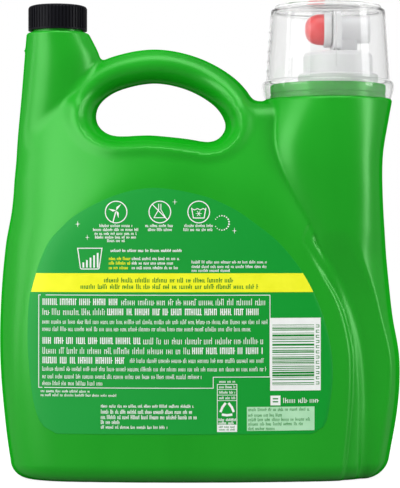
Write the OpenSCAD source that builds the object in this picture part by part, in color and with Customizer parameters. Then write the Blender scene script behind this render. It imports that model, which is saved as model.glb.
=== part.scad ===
// Large laundry detergent bottle, stood upright: a blown shell with a through handle, a small
// vent cap on the left tower, and a push tap under a clear measuring cup on the right tower.
// Millimetres. +Z is up and the floor is Z = 0. +X is the tap side, and the printed back faces -Y.

/* [Body] */
// Width of the body at its widest
body_w = 263; // [250:1:276]
// Depth of the body between its two flat panels
body_d = 103; // [98:1:110]
// How far each face crowns from its sides to its middle
crown = 15; // [10:1:19]
// Wall thickness of the blown shell
wall = 1.2; // [0.8:0.1:1.8]
// Radius of the edge round the base
base_r = 12; // [9:0.5:14]
// Height of the push-up under the base
push_up = 3.5; // [1.5:0.5:5]
// Distance over which the front rounds off into each side
side_r = 42; // [36:1:46]
// Fall of the shoulders beyond the flat panel, in mm per mm
shoulder_slope = 0.44; // [0.38:0.01:0.5]

/* [Towers] */
// Height of the tap tower's shoulder
tap_shoulder_z = 248; // [242:1:256]
// Radius of the tap tower at its shoulder
tap_tower_r = 42.4; // [41:0.2:44]
// Height of the vent tower's shoulder
vent_shoulder_z = 292; // [286:1:298]
// Radius of the vent tower at its shoulder
vent_tower_r = 20.5; // [19:0.5:22]

/* [Handle] */
// X of the middle of the finger opening
hole_x = -26; // [-32:1:-20]
// Height of the middle of the finger opening
hole_z = 239.5; // [236:0.5:243]
// Width of the finger opening
hole_w = 85.4; // [76:0.2:90]
// Height of the finger opening
hole_h = 38.8; // [34:0.2:42]
// Thickness of the handle, seen from the front
handle_t = 22.4; // [18:0.2:24]
// Depth of the handle, front to back, at its top
handle_d = 33; // [26:1:38]
// How far the flared lip of the opening stands proud of the shoulders
lip = 1.2; // [0.6:0.1:2]

/* [Tap collar and neck] */
// Radius of the collar that the measuring cup drops over
collar_r = 38; // [36:0.2:39]
// Height of the collar
collar_h = 9.7; // [7:0.1:12]
// Radius of the neck that the tap closure snaps on
tap_neck_r = 20.4; // [18:0.2:20.6]
// Distance of the neck from the collar's middle, towards the tap side
neck_shift = 6.6; // [0:0.2:8]

/* [Vent neck and cap] */
// Outer radius of the vent neck
vent_neck_r = 16.4; // [15:0.2:16.8]
// Height of the vent neck
vent_neck_h = 15; // [12:0.5:17]
// Wall thickness of both necks
neck_wall = 2.2; // [1.6:0.1:3]
// Outer radius of the vent cap over its ribs
vent_cap_r = 19.4; // [19:0.1:21]
// Wall thickness of the vent cap
vent_cap_wall = 1.8; // [1.2:0.1:2]
// Gap between the vent cap's skirt and the tower
vent_cap_gap = 1.6; // [0.6:0.1:2.5]
// Number of grip ribs on the vent cap
vent_ribs = 54; // [36:2:64]
// Depth of a grip rib
rib_depth = 0.5; // [0.3:0.1:0.7]
// Thickness of the sealing liner in the vent cap
liner_t = 1; // [0.6:0.1:1.6]

/* [Measuring cup] */
// Radius of the cup at its closed end
cup_top_r = 37.7; // [37:0.1:39]
// Radius of the cup wall just above its rim
cup_wall_r = 40.8; // [40.6:0.1:42]
// How far the bulged rim stands proud of the cup wall
rim_bulge = 2.7; // [1.5:0.1:4]
// Height of the bulged rim
rim_h = 12.6; // [10:0.2:15]
// Height of the cup without its foot ring
cup_h = 59.3; // [58.5:0.1:66]
// Height of the foot ring on the closed end
foot_h = 2.4; // [2:0.1:4]
// Radius of the foot ring
foot_r = 35.3; // [33:0.1:35.6]
// Wall thickness of the cup
cup_wall = 1.3; // [1:0.1:1.5]
// Number of fill lines moulded on the cup
fill_lines = 5; // [3:1:6]
// Room between the tap and the cup's closed end
cup_room = 1.4; // [1:0.1:4]

/* [Tap closure] */
// Outer radius of the closure's skirt
closure_r = 22.8; // [22.6:0.1:25]
// Outer radius of the closure's lower band
band_r = 26.5; // [25.5:0.1:28]
// Height of the lower band
band_h = 7; // [5:0.5:9]
// Wall thickness of the closure
closure_wall = 1.6; // [1.2:0.1:1.7]
// Thickness of the sealing gasket in the closure
gasket_t = 1.2; // [0.8:0.1:2]

/* [Tap] */
// Height of the barrel's axis above the closure
barrel_up = 15.2; // [14.8:0.1:15.6]
// Outer radius of the barrel
barrel_r = 9.1; // [8.8:0.1:9.4]
// Wall thickness of the barrel
barrel_wall = 1.7; // [1.2:0.1:2]
// Length of the barrel beyond the finger wings
barrel_len = 19.8; // [18:0.2:21]
// Thickness of the finger wings
wing_t = 4.9; // [3:0.1:5]
// Height of the finger wings
wing_h = 25; // [22:0.2:25.6]
// Span of the finger wings, front to back
wing_span = 40; // [30:1:44]
// Distance of the wings' nozzle side beyond the neck's axis
wing_x = 1; // [0:0.2:2]
// Width of the hollow block that carries the barrel
block_w = 11.2; // [10:0.2:12]
// Radius of the push button
button_r = 10.25; // [9.6:0.05:10.3]
// Length of the push button's dome and skirt
button_len = 13.1; // [12:0.1:14]
// Wall thickness of the push button
button_wall = 1.4; // [1:0.1:1.8]
// Travel of the push button
travel = 3; // [2:0.1:3.2]
// Outer radius of the ring that holds the button
ring_r = 11.8; // [11.6:0.1:12.2]
// Length of that ring
ring_len = 5; // [4.8:0.1:5.6]
// Radius of the valve stem
stem_r = 2; // [1.5:0.1:2.4]

/* [Back label] */
// Thickness of the printed film label
label_t = 0.3; // [0.2:0.05:0.5]
// Radius of the label's lower corners
label_corner = 9; // [5:0.5:14]

/* [Hidden] */
$fn = 96;
run_gap = 0.3;    // round a piece that slides or lifts off
guide_gap = 0.08; // round the valve stem in its guide
seat_gap = 0.1;   // between pieces that are snapped or pressed together
edge_r = 1.6;     // rounded edge of both tower shoulders
foot_lip = 0.8;   // how far the foot ring stands above the cup's closed end
outer_n = 44;     // points round one level of the outer skin
inner_n = 28;     // and of the cavity
eps = 0.01;

// Side outlines of the body: height, and distance inside half the width
left_side = [[0, 9.5], [18, 6], [42, 3], [70, 0.6], [97, 0], [130, 1.5], [153, 4], [176, 8],
             [200, 9.8], [221, 11], [250, 13.6], [vent_shoulder_z, 17]];
right_side = [[0, 9.5], [18, 6], [42, 1.8], [62, 0], [81, 0.4], [105, 4.5], [129, 7.2], [153, 9.4],
              [tap_shoulder_z - 60, 11.7], [tap_shoulder_z - 36, 11.3], [tap_shoulder_z - 13, 7.2],
              [tap_shoulder_z, 4.6]];

// The flat panel ends at an arch: its middle and its two radii, and how softly it ends
panel_x = -10;
panel_z = 58;
panel_rx = 111;
panel_rz = 140;
panel_soft = 14;

// Half width of the vent tower, and half width and half depth of the tap tower, at heights
vent_tower = [[150, 22], [vent_shoulder_z - 102, 26.5], [vent_shoulder_z - 72, 28],
              [vent_shoulder_z - 42, 26.5], [vent_shoulder_z - 17, 25], [vent_shoulder_z, vent_tower_r]];
tap_tower_x = [[0, 14], [40, 18.4], [92, 21], [152, 32], [tap_shoulder_z - 46, 39.5],
               [tap_shoulder_z - 20, 42], [tap_shoulder_z, tap_tower_r]];
tap_tower_y = [[0, 32], [40, 36], [92, 41], [152, 44.5], [tap_shoulder_z - 46, 46],
               [tap_shoulder_z - 20, 44.5], [tap_shoulder_z, tap_tower_r]];

// Outline of the finger opening, in half widths and half heights from its middle
hole_outline = [[-1, -0.1], [-0.906, 0.38], [-0.614, 0.78], [-0.1, 1], [0.41, 0.78], [0.83, 0.24],
                [1, -0.37], [0.93, -0.81], [0.74, -1], [0.377, -0.89], [-0.16, -0.78],
                [-0.68, -0.8], [-0.923, -0.546]];

// Outline of the label, up the left side, over its arch and down the right side
label_outline = [[-99, 32], [-106, 50], [-109.5, 76], [-110.4, 98], [-108.5, 122], [-99, 150],
                 [-89, 163], [-76, 173.5], [-52, 184.5], [-28.5, 188.5], [0, 184], [20, 176],
                 [35, 166], [51, 153], [66, 134], [76, 114], [83, 90], [84.8, 69], [82.5, 48], [79, 32]];

collar_z = tap_shoulder_z + collar_h;
collar_x = right_x(tap_shoulder_z) - tap_tower_r;
neck_x = collar_x + neck_shift;
vent_x = left_x(vent_shoulder_z) + vent_tower_r;
vent_top = vent_shoulder_z + vent_neck_h;
cup_plate_z = tap_shoulder_z + cup_h + foot_h - foot_lip - cup_wall;
barrel_z = cup_plate_z - cup_room - ring_r;
closure_z = barrel_z - barrel_up;
neck_top = closure_z - closure_wall - gasket_t;
body_top = min(tap_shoulder_z - 1.5, hole_z + 7); // under the tap's shoulder and inside the handle's ring
body_round = 14;
fill_low = 6;     // first fill line above the cup's rim
fill_step = 6.5;  // from one fill line to the next
fill_rise = 0.35; // how far a fill line stands out

// Along the tap's axis, from the button's tip to the nozzle
wing_end = neck_x + wing_x;
wing_start = wing_end - wing_t;
nozzle_x = wing_end + barrel_len;
block_x = wing_end + block_w / 2;
duct_r = block_w / 2 - barrel_wall;
web_t = 3.2;
ring_back = 0.8;
ring_clear = 0.7;
end_clear = 0.2;
ring_start = wing_start - ring_clear - ring_len;
web_start = ring_start + ring_len - ring_back;
button_end = web_start - travel - end_clear;
button_tip = button_end - button_len;
seat_t = 1.2;
seat_deep = 7.6;
seat_land = 2.2;
seat_x = nozzle_x - seat_deep;
seat_r = barrel_r - barrel_wall - seat_land;
seal_t = 0.8;
plug_t = 1.6;

// Value at height z of a smooth curve through a table of [height, value] rows
function slope(t, i) =
    let (a = max(i - 1, 0), b = min(i + 1, len(t) - 1)) (t[b][1] - t[a][1]) / (t[b][0] - t[a][0]);
function row_below(t, z, i = 0) = i >= len(t) - 2 || z <= t[i + 1][0] ? i : row_below(t, z, i + 1);
function along(t, z) =
    let (i = row_below(t, z), h = t[i + 1][0] - t[i][0], u = min(max((z - t[i][0]) / h, 0), 1), v = 1 - u)
    t[i][1] * (1 + 2 * u) * v * v + t[i + 1][1] * u * u * (3 - 2 * u)
    + h * u * v * (slope(t, i) * v - slope(t, i + 1) * u);

// Point at u, from 0 to 1, between b and c of a smooth curve through a, b, c and d
function between(a, b, c, d, u) =
    b + u / 2 * (c - a + u * (2 * a - 5 * b + 4 * c - d + u * (3 * (b - c) + d - a)));
function closed_curve(p, steps) =
    [for (i = [0 : len(p) - 1], j = [0 : steps - 1]) let (n = len(p))
        between(p[(i + n - 1) % n], p[i], p[(i + 1) % n], p[(i + 2) % n], j / steps)];
function open_curve(p, steps) =
    [for (i = [0 : len(p) - 2], j = [0 : steps - 1]) let (n = len(p))
        between(p[max(i - 1, 0)], p[i], p[i + 1], p[min(i + 2, n - 1)], j / steps), p[len(p) - 1]];

function left_x(z) = -body_w / 2 + along(left_side, z);
function right_x(z) = body_w / 2 - along(right_side, z);
function quarter(u) = sqrt(max(0, 1 - pow(1 - min(max(u, 0), 1), 2)));
function ease(u) = let (v = min(max(u, 0), 1)) v * v * (3 - 2 * v);

// Half depth of the body's face, flat on the panel and falling away beyond its arch
function face(x, z) =
    let (q = norm([(x - panel_x) / panel_rx, max(0, z - panel_z) / panel_rz]), beyond = (q - 1) * panel_rx)
    body_d / 2 - crown * pow((x - panel_x) / (body_w / 2), 2)
    - shoulder_slope * (beyond + norm([beyond, panel_soft])) / 2;
function half_depth(x, z, xl, xr, inset = 0) =
    (face(x, z) - inset) * quarter(min(x - xl, xr - x) / side_r);

// One level of the body at height z, with the outline that it has at height h
function body_level(z, h, inset, n) =
    let (tuck = 0.12 * max(0, h - 195), xl = left_x(h) + inset + tuck, xr = right_x(h) - inset - tuck / 2,
         top = quarter((body_top - h) / body_round))
    [for (k = [0 : n - 1])
        let (a = 360 * k / n, x = (xl + xr) / 2 + (xr - xl) / 2 * cos(a))
        [x, sign(sin(a)) * top * half_depth(x, h, xl - eps, xr + eps, inset), z]];

// One level of a tower, an ellipse that can be squarer
function tower_level(z, x, rx, ry, power, n) =
    [for (k = [0 : n - 1]) let (c = cos(360 * k / n), s = sin(360 * k / n))
        [x + rx * sign(c) * pow(abs(c), 2 / power), ry * sign(s) * pow(abs(s), 2 / power), z]];

// Solid through a stack of loops with the same number of points
module loft(levels) {
    n = len(levels[0]);
    m = len(levels);
    sides = [for (j = [0 : m - 2], i = [0 : n - 1]) let (k = (i + 1) % n)
        each [[j * n + i, (j + 1) * n + i, (j + 1) * n + k], [j * n + i, (j + 1) * n + k, j * n + k]]];
    polyhedron([for (l = levels) each l],
               concat([[for (i = [0 : n - 1]) i]], sides, [[for (i = [n - 1 : -1 : 0]) (m - 1) * n + i]]),
               convexity = 8);
}

// Body up to the shoulders, with its push-up. grow moves the skin out, or in where it is negative.
module body_form(grow, n) {
    foot = [for (l = [[push_up, 30], [push_up * 0.8, 24], [0, 17], [0, base_r]])
        body_level(l[0] - grow, base_r, l[1] - grow, n)];
    edge = [for (a = [25 : 22 : 69])
        body_level(base_r * (1 - cos(a)) - grow, base_r, base_r * (1 - sin(a)) - grow, n)];
    low = [for (z = [12, 26, 44, 62, 80, 97, 115, 133, 150, 165]) if (z < body_top - 76) max(z, base_r)];
    high = [for (down = [68.5, 56.5, 45.5, 34.5, 23.5, 14.5]) body_top - down];
    sides = [for (z = concat(low, high)) body_level(z, z, -grow, n)];
    top = [for (a = [0 : 18 : 72]) let (h = body_top - body_round * (1 - sin(a)))
        body_level(h + grow, h, -grow, n)];
    loft(concat(foot, edge, sides, top));
}

// Tower under the vent cap, cone-like, sinking into the body at its foot
module vent_tower_form(grow, n) {
    top = vent_shoulder_z;
    sides = [for (z = [150 : 14 : top - 16]) [z, 0]];
    shoulder = [[top - edge_r, 0], [top - 0.3 * edge_r, 0.3 * edge_r], [top, edge_r]];
    loft([for (l = concat(sides, shoulder))
        let (z = l[0], r = along(vent_tower, z), sunk = 0.12 * max(0, 200 - z), out = r + grow - l[1])
        tower_level(z > top - 8 ? z + grow : z, left_x(z) + r + sunk, out, out, 2, n)]);
}

// Tower under the tap, running down the side of the body as a tapering swell to the base.
// Each of its levels is [height, inset all round, further inset of the front, back and outer side]
module tap_tower_form(grow, n) {
    top = tap_shoulder_z;
    foot = [for (a = [14 : 18 : 68]) [base_r * (1 - cos(a)), 0, base_r * (1 - sin(a))]];
    low = [for (z = [16, 28, 44, 62, 80, 98, 116, 134, 152]) if (z < top - 86) z];
    high = [for (down = [78, 60, 44, 30, 16]) top - down];
    sides = [for (z = concat(low, high)) [z, 0, 0]];
    shoulder = [[top - edge_r, 0, 0], [top - 0.3 * edge_r, 0.3 * edge_r, 0], [top, edge_r, 0]];
    loft([for (l = concat(foot, sides, shoulder))
        let (z = l[0], rx = along(tap_tower_x, z), inset = l[1] - grow)
        tower_level(z < base_r ? z - grow : z > top - 8 ? z + grow : z, right_x(z) - rx - l[2] / 2,
                    rx - inset - l[2] / 2, along(tap_tower_y, z) - inset - l[2],
                    2 + 0.4 * min(1, (top - z) / 40), n)]);
}

// Middle line of the ring round the finger opening: [x, z, outward x, outward z] at each station
hole_curve = closed_curve([for (p = hole_outline)
    [hole_x + p[0] * hole_w / 2, hole_z + p[1] * hole_h / 2]], 3);
ring_line = [for (i = [0 : len(hole_curve) - 1])
    let (n = len(hole_curve), p = hole_curve[i], d = hole_curve[(i + 1) % n] - hole_curve[(i + n - 1) % n],
         out = [-d[1], d[0]] / norm(d))
    concat(p + out * handle_t / 2, out)];

// Half depth of the ring: the shoulders and the lip, easing to the handle's own at its top
function ring_depth(x, z) =
    let (top = ease((z - hole_z) / (hole_h / 2 + handle_t / 2)))
    (half_depth(x, z, left_x(z), right_x(z)) + lip) * (1 - top) + handle_d / 2 * top;

// Handle and flared rim: one closed tube swept round the finger opening
module handle_ring(grow, m) {
    n = len(ring_line);
    points = [for (p = ring_line) for (k = [0 : m - 1])
        let (a = 360 * k / m, u = (handle_t / 2 + grow) * cos(a),
             v = (ring_depth(p[0], p[1]) + grow) * sin(a))
        [p[0] + p[2] * u, v, p[1] + p[3] * u]];
    faces = [for (i = [0 : n - 1], k = [0 : m - 1])
        let (a = i * m, b = ((i + 1) % n) * m, c = (k + 1) % m)
        each [[a + k, b + c, b + k], [a + k, a + c, b + c]]];
    polyhedron(points, faces, convexity = 8);
}

// Everything inside the ring's middle line, right through the body
module finger_way() {
    rotate([90, 0, 0]) linear_extrude(2 * body_d, center = true)
        polygon([for (p = ring_line) [p[0], p[1]]]);
}

module whole_form(grow, n) {
    difference() {
        union() {
            body_form(grow, n);
            vent_tower_form(grow, 0.75 * n - 1);
            tap_tower_form(grow, 0.75 * n - 1);
        }
        finger_way();
    }
    handle_ring(grow, n / 4 + 5);
}

// The blown shell without its necks, kept as one mesh
module blown_shell() {
    resize([body_w, 0, 0]) difference() {
        whole_form(0, outer_n);
        whole_form(-wall, inner_n);
        translate([collar_x, 0, tap_shoulder_z - 2 * wall]) cylinder(r = collar_r - wall / 2, h = 4 * wall);
        translate([vent_x, 0, vent_shoulder_z - 2 * wall])
            cylinder(r = vent_neck_r - neck_wall / 2, h = 4 * wall);
    }
}

module collar() {
    groove = collar_z - 6.2;
    difference() {
        translate([collar_x, 0, 0]) rotate_extrude() polygon([
            [0, collar_z - wall], [collar_r - wall, collar_z - wall],
            [collar_r - wall, tap_shoulder_z - wall], [collar_r, tap_shoulder_z - wall],
            [collar_r, groove - 0.7], [collar_r - 0.5, groove], [collar_r, groove + 0.7],
            [collar_r, collar_z - 0.8], [collar_r - 0.8, collar_z], [0, collar_z]]);
        translate([neck_x, 0, collar_z - 2 * wall]) cylinder(r = tap_neck_r - neck_wall, h = 4 * wall);
    }
}

// A neck with a snap bead near its lip
module neck(x, z_low, z_high, r, bead) {
    translate([x, 0, 0]) rotate_extrude() polygon([
        [r - neck_wall, z_low], [r, z_low], [r, z_high - 4], [r + bead, z_high - 3.2],
        [r + bead, z_high - 2.2], [r, z_high - 1], [r - 0.4, z_high], [r - neck_wall, z_high]]);
}

module bottle() {
    color("limegreen") {
        blown_shell();
        collar();
        neck(neck_x, collar_z - wall, neck_top, tap_neck_r, 0.6);
        neck(vent_x, vent_shoulder_z - wall, vent_top, vent_neck_r, 0.3);
    }
}

module back_label() {
    color("seagreen") resize([0, 0, 0]) intersection() {
        difference() {
            body_form(label_t, outer_n);
            body_form(0, outer_n);
        }
        rotate([90, 0, 0]) linear_extrude(body_d)
            offset(r = label_corner, $fn = 32) offset(delta = -label_corner)
                polygon(open_curve(label_outline, 3));
    }
}

module vent_cap() {
    low = vent_shoulder_z + vent_cap_gap;
    top_t = vent_cap_wall;
    high = vent_top + liner_t + top_t;
    bore = vent_cap_r - rib_depth - vent_cap_wall;
    color([0.1, 0.1, 0.12]) translate([vent_x, 0, 0]) difference() {
        union() {
            translate([0, 0, low]) cylinder(r = vent_cap_r, h = 1);
            intersection() {
                translate([0, 0, low + 0.5]) linear_extrude(high - low - 0.5) union() {
                    circle(r = vent_cap_r - rib_depth);
                    for (i = [0 : vent_ribs - 1]) rotate(360 / vent_ribs * i)
                        translate([vent_cap_r - 1.5, 0])
                            square([3, PI * vent_cap_r / vent_ribs], center = true);
                }
                rotate_extrude() polygon([
                    [0, low], [vent_cap_r, low], [vent_cap_r, high - 1.8], [vent_cap_r - 0.7, high - 0.6],
                    [vent_cap_r - 2.2, high], [0, high]]);
            }
        }
        translate([0, 0, low - 1]) cylinder(r = bore, h = high - top_t - low + 1);
    }
}

module vent_cap_liner() {
    r = vent_cap_r - rib_depth - vent_cap_wall - seat_gap;
    color("gainsboro") translate([vent_x, 0, vent_top]) cylinder(r = r, h = liner_t);
}

// Outer radius of the cup's plain wall at height z above its rim
function cup_r(z) = cup_wall_r + (cup_top_r - cup_wall_r) * (z - rim_h) / (cup_h - rim_h);

module measuring_cup() {
    b = rim_bulge;
    rim = [[0, 0.25 * b], [0.3, 0.68 * b], [0.6, 0.96 * b], [0.78, b], [0.93, 0.6 * b]];
    outside = concat([for (p = rim) [cup_wall_r + p[1], p[0] * rim_h]],
                     [[cup_wall_r, rim_h], [cup_top_r, cup_h - 1.2], [cup_top_r - 0.4, cup_h - 0.3],
                      [cup_top_r - 1.2, cup_h], [foot_r, cup_h], [foot_r - 0.2, cup_h + foot_h],
                      [foot_r - cup_wall, cup_h + foot_h],
                      [foot_r - cup_wall - 0.6, cup_h + foot_h - foot_lip]]);
    plate = cup_plate_z - tap_shoulder_z;
    inside = [[foot_r - 1.4 * cup_wall, plate], [foot_r - 1.1 * cup_wall, cup_h - 1.1 * cup_wall],
              [cup_top_r - 1.3 * cup_wall, cup_h - 1.2 * cup_wall], [cup_top_r - cup_wall, cup_h - 2.2],
              [cup_wall_r - cup_wall, rim_h]];
    rim_inside = [for (i = [len(rim) - 1 : -1 : 0])
        [cup_wall_r - cup_wall + rim[i][1], rim[i][0] * rim_h - 0.02 * i]];
    color([0.9, 0.95, 1, 0.4]) translate([collar_x, 0, tap_shoulder_z]) {
        rotate_extrude() polygon(concat([[0, plate + cup_wall]], [[0, plate]], inside, rim_inside, outside));
        for (i = [0 : fill_lines - 1])
            let (z = rim_h + fill_low + fill_step * i, span = 14 + 4 * i, r = cup_r(z), out = r + fill_rise)
            rotate(180 - span / 2) rotate_extrude(angle = span)
                polygon([[r - 0.5, z], [out, z], [out, z + 0.9], [r - 0.5, z + 0.9]]);
    }
}

module tap_closure() {
    low = collar_z + seat_gap;
    inner = closure_r - closure_wall;
    step = low + band_h - closure_wall - 0.4;
    color("white") difference() {
        translate([neck_x, 0, 0]) rotate_extrude() polygon([
            [band_r - closure_wall, low], [band_r, low], [band_r, low + band_h - 1.2],
            [band_r - 1.2, low + band_h], [closure_r, low + band_h], [closure_r, closure_z - 3],
            [closure_r - 0.9, closure_z - 0.9], [closure_r - 3, closure_z], [0, closure_z],
            [0, closure_z - closure_wall], [inner, closure_z - closure_wall],
            [inner, step], [band_r - closure_wall, step]]);
        translate([block_x, 0, closure_z - 2 * closure_wall]) cylinder(r = duct_r + 1, h = 4 * closure_wall);
    }
}

module closure_gasket() {
    color("silver") translate([neck_x, 0, neck_top]) difference() {
        cylinder(r = tap_neck_r, h = gasket_t);
        translate([0, 0, -1]) cylinder(r = tap_neck_r - neck_wall - 0.6, h = gasket_t + 2);
    }
}

// A solid turned about the tap's axis, from [radius, x] points
module turned(points) {
    translate([0, 0, barrel_z]) rotate([0, 90, 0]) rotate_extrude() polygon(points);
}

module tap_body() {
    bore = barrel_r - barrel_wall;
    wing_top = barrel_z + barrel_r + 1.6;
    web_end = web_start + web_t;
    guide_r = stem_r + guide_gap;
    color("white") difference() {
        union() {
            turned([[0, web_start], [barrel_r, web_start], [barrel_r, nozzle_x - 0.5],
                    [barrel_r - 0.5, nozzle_x], [0, nozzle_x]]);
            translate([wing_start, 0, wing_top - wing_h / 2]) rotate([0, 90, 0])
                linear_extrude(wing_t) offset(r = 4, $fn = 48)
                    square([wing_h - 8, wing_span - 8], center = true);
            translate([wing_end - eps, -block_w / 2, closure_z]) cube([block_w + eps, block_w, barrel_up]);
            translate([block_x, 0, closure_z - closure_wall])
                cylinder(r = duct_r + 1 - seat_gap / 2, h = closure_wall + 1);
        }
        turned([[0, web_end], [bore, web_end], [bore, seat_x - seat_t], [0, seat_x - seat_t]]);
        turned([[0, seat_x], [bore, seat_x], [bore, nozzle_x + 1], [0, nozzle_x + 1]]);
        turned([[0, seat_x - 3], [seat_r, seat_x - 3], [seat_r, seat_x + 1], [0, seat_x + 1]]);
        turned([[0, web_start - 1], [guide_r, web_start - 1], [guide_r, web_end + 1], [0, web_end + 1]]);
        translate([block_x, 0, closure_z - 2 * closure_wall])
            cylinder(r = duct_r, h = barrel_up + 2 * closure_wall);
    }
}

module button_ring() {
    color("white") turned([
        [button_r + run_gap, ring_start], [ring_r - 0.5, ring_start], [ring_r, ring_start + 0.5],
        [ring_r, ring_start + ring_len - 0.4], [ring_r - 0.4, ring_start + ring_len],
        [barrel_r + seat_gap / 2, ring_start + ring_len], [barrel_r + seat_gap / 2, web_start],
        [button_r + run_gap, web_start]]);
}

// Half profile of the button's dome, moved in by inset
function dome(inset) =
    [for (a = [0 : 7.5 : 90])
        [(button_r - inset) * pow(sin(a), 0.78),
         button_tip + inset + (button_len - 1) * (1 - pow(cos(a), 0.78))]];

module tap_button() {
    boss = button_tip + button_wall;
    boss_r = stem_r + 1.6;
    color("tomato") {
        difference() {
            turned(concat(dome(0), [[button_r, button_end], [0, button_end]]));
            turned(concat(dome(button_wall), [[button_r - button_wall, button_end + 1], [0, button_end + 1]]));
        }
        turned([[0, boss - 0.5], [boss_r, boss - 0.1], [boss_r, boss + 6], [stem_r + seat_gap / 2, boss + 6],
                [stem_r + seat_gap / 2, boss + 1], [0, boss + 1]]);
    }
}

module valve_stem() {
    plug_r = seat_r + 1.4;
    start = button_tip + button_wall + 1;
    back = seat_x + seal_t;
    color("whitesmoke") turned([
        [0, start], [stem_r, start], [stem_r, back], [plug_r, back], [plug_r, back + plug_t - 0.4],
        [plug_r - 0.4, back + plug_t], [0, back + plug_t]]);
}

module valve_seal() {
    seal_r = seat_r + 1.2;
    color("dimgray") turned([
        [stem_r, seat_x], [seal_r, seat_x], [seal_r, seat_x + seal_t], [stem_r, seat_x + seal_t]]);
}

bottle();
back_label();
vent_cap();
vent_cap_liner();
measuring_cup();
tap_closure();
closure_gasket();
tap_body();
button_ring();
tap_button();
valve_stem();
valve_seal();
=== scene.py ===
# %% [markdown]
# # A large detergent bottle with a push tap
# The bottle is a blown moulding with a through handle. A black ribbed cap closes its air vent on
# the left, and on the right a clear measuring cup stands upside down over a white push tap.
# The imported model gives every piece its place, so this file makes the looks around that frame.

# %% Load the frame
import math

import bpy
import numpy as np
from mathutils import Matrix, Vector


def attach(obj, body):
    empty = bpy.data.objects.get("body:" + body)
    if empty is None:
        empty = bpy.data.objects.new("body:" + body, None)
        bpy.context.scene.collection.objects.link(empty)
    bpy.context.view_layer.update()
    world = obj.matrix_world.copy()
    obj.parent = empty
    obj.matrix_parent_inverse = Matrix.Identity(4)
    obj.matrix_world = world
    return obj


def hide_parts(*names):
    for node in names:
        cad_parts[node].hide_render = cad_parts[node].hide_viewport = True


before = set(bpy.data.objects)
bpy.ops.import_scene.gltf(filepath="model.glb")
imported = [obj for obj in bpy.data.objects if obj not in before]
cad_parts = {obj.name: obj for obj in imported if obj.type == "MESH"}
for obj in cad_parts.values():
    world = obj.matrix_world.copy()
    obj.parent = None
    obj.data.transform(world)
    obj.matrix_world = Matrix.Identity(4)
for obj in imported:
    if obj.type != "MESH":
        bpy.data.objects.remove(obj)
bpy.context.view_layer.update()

# %% [markdown]
# ## Units and a first helper
# The drawing of a bottle is in millimetres and Blender works in metres. A mesh could be modelled
# in metres, but then no number in this file could be compared with the drawing. So every mesh is
# made in millimetres and scaled once, when its object is made.

# %% Make an object from points in millimetres
MM = 0.001


def new_piece(name, points, faces, body, slot, replaces=(), normals=None, sharp=35):
    """A mesh object from points in millimetres, riding on a body of the frame."""
    mesh = bpy.data.meshes.new(name)
    mesh.from_pydata((np.asarray(points, float) * MM).tolist(), [], [list(f) for f in faces])
    mesh.validate()
    mesh.update()
    piece = bpy.data.objects.new(name, mesh)
    bpy.context.scene.collection.objects.link(piece)
    mesh.shade_smooth()
    if normals is None:
        mesh.set_sharp_from_angle(angle=math.radians(sharp))
    else:
        mesh.normals_split_custom_set_from_vertices(np.asarray(normals, float).tolist())
    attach(piece, body)
    if replaces:
        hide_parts(*replaces)
    print(f"{name}: {len(mesh.vertices)} points, {len(mesh.polygons)} faces")
    return piece


# %% [markdown]
# ## The form of the blown bottle
# A blown bottle has no sharp edge: every face flows into the next with a small fillet. A mesh
# modelled by hand could do that, but the handle, the towers and the shoulders meet in many
# places. It is simpler to write each form as a distance from its skin, negative inside, and to
# blend the distances. The skin is then wherever the blended distance is zero. The sizes are
# those of the moulding drawing, and each stands beside the form that first needs it.

# %% Sizes of the body and of the two towers on it, in millimetres
BODY_W, BODY_D = 263.0, 103.0
TAP_SHOULDER_Z, TAP_TOWER_R = 248.0, 42.4
VENT_SHOULDER_Z, VENT_TOWER_R = 292.0, 20.5
print("body", BODY_W, "by", BODY_D, "mm, shoulders at", TAP_SHOULDER_Z, "and", VENT_SHOULDER_Z, "mm")

# %% [markdown]
# ## Curves that change with height
# The outline of the bottle and the ovals of its towers change with height. Each is a table of
# height and size at the few levels where the drawing turns. Straight lines between the rows
# would show as rings on the glossy plastic, so a smooth curve runs through them.


# %% A smooth curve through a few rows
def along(table, z):
    """Value at height z of a smooth curve through rows of height and value."""
    t = np.array(table, float)
    row = np.arange(len(t))
    before, after = np.maximum(row - 1, 0), np.minimum(row + 1, len(t) - 1)
    slope = (t[after, 1] - t[before, 1]) / (t[after, 0] - t[before, 0])
    z = np.clip(z, t[0, 0], t[-1, 0])
    i = np.clip(np.searchsorted(t[:, 0], z) - 1, 0, len(t) - 2)
    h = t[i + 1, 0] - t[i, 0]
    u = (z - t[i, 0]) / h
    v = 1 - u
    return (t[i, 1] * (1 + 2 * u) * v * v + t[i + 1, 1] * u * u * (3 - 2 * u)
            + h * u * v * (slope[i] * v - slope[i + 1] * u))


print("a curve from 0 to 1, half way:", float(along([[0, 0], [10, 1]], 5)))

# %% How far each side stands in from the body's full width
LEFT_SIDE = [[0, 9.5], [18, 6], [42, 3], [70, 0.6], [97, 0], [130, 1.5], [153, 4], [176, 8],
             [200, 9.8], [221, 11], [250, 13.6], [VENT_SHOULDER_Z, 17]]
RIGHT_SIDE = [[0, 9.5], [18, 6], [42, 1.8], [62, 0], [81, 0.4], [105, 4.5], [129, 7.2],
              [153, 9.4], [188, 11.7], [212, 11.3], [TAP_SHOULDER_Z - 13, 7.2],
              [TAP_SHOULDER_Z, 4.6]]


def left_x(z):
    return -BODY_W / 2 + along(LEFT_SIDE, z)


def right_x(z):
    return BODY_W / 2 - along(RIGHT_SIDE, z)


for z in (60, 188):
    print(f"width {z} mm up: {float(right_x(z) - left_x(z)):.1f} mm")

# %% [markdown]
# ## The faces
# The front and back are panels, nearly flat so that a label lies well on them. Each panel ends
# in an arch, and beyond it the shoulders fall away. The face could be a cut-out block with
# bevelled edges. Here its half depth is one formula, because the label needs the same formula
# to find the skin that it lies on.

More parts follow.
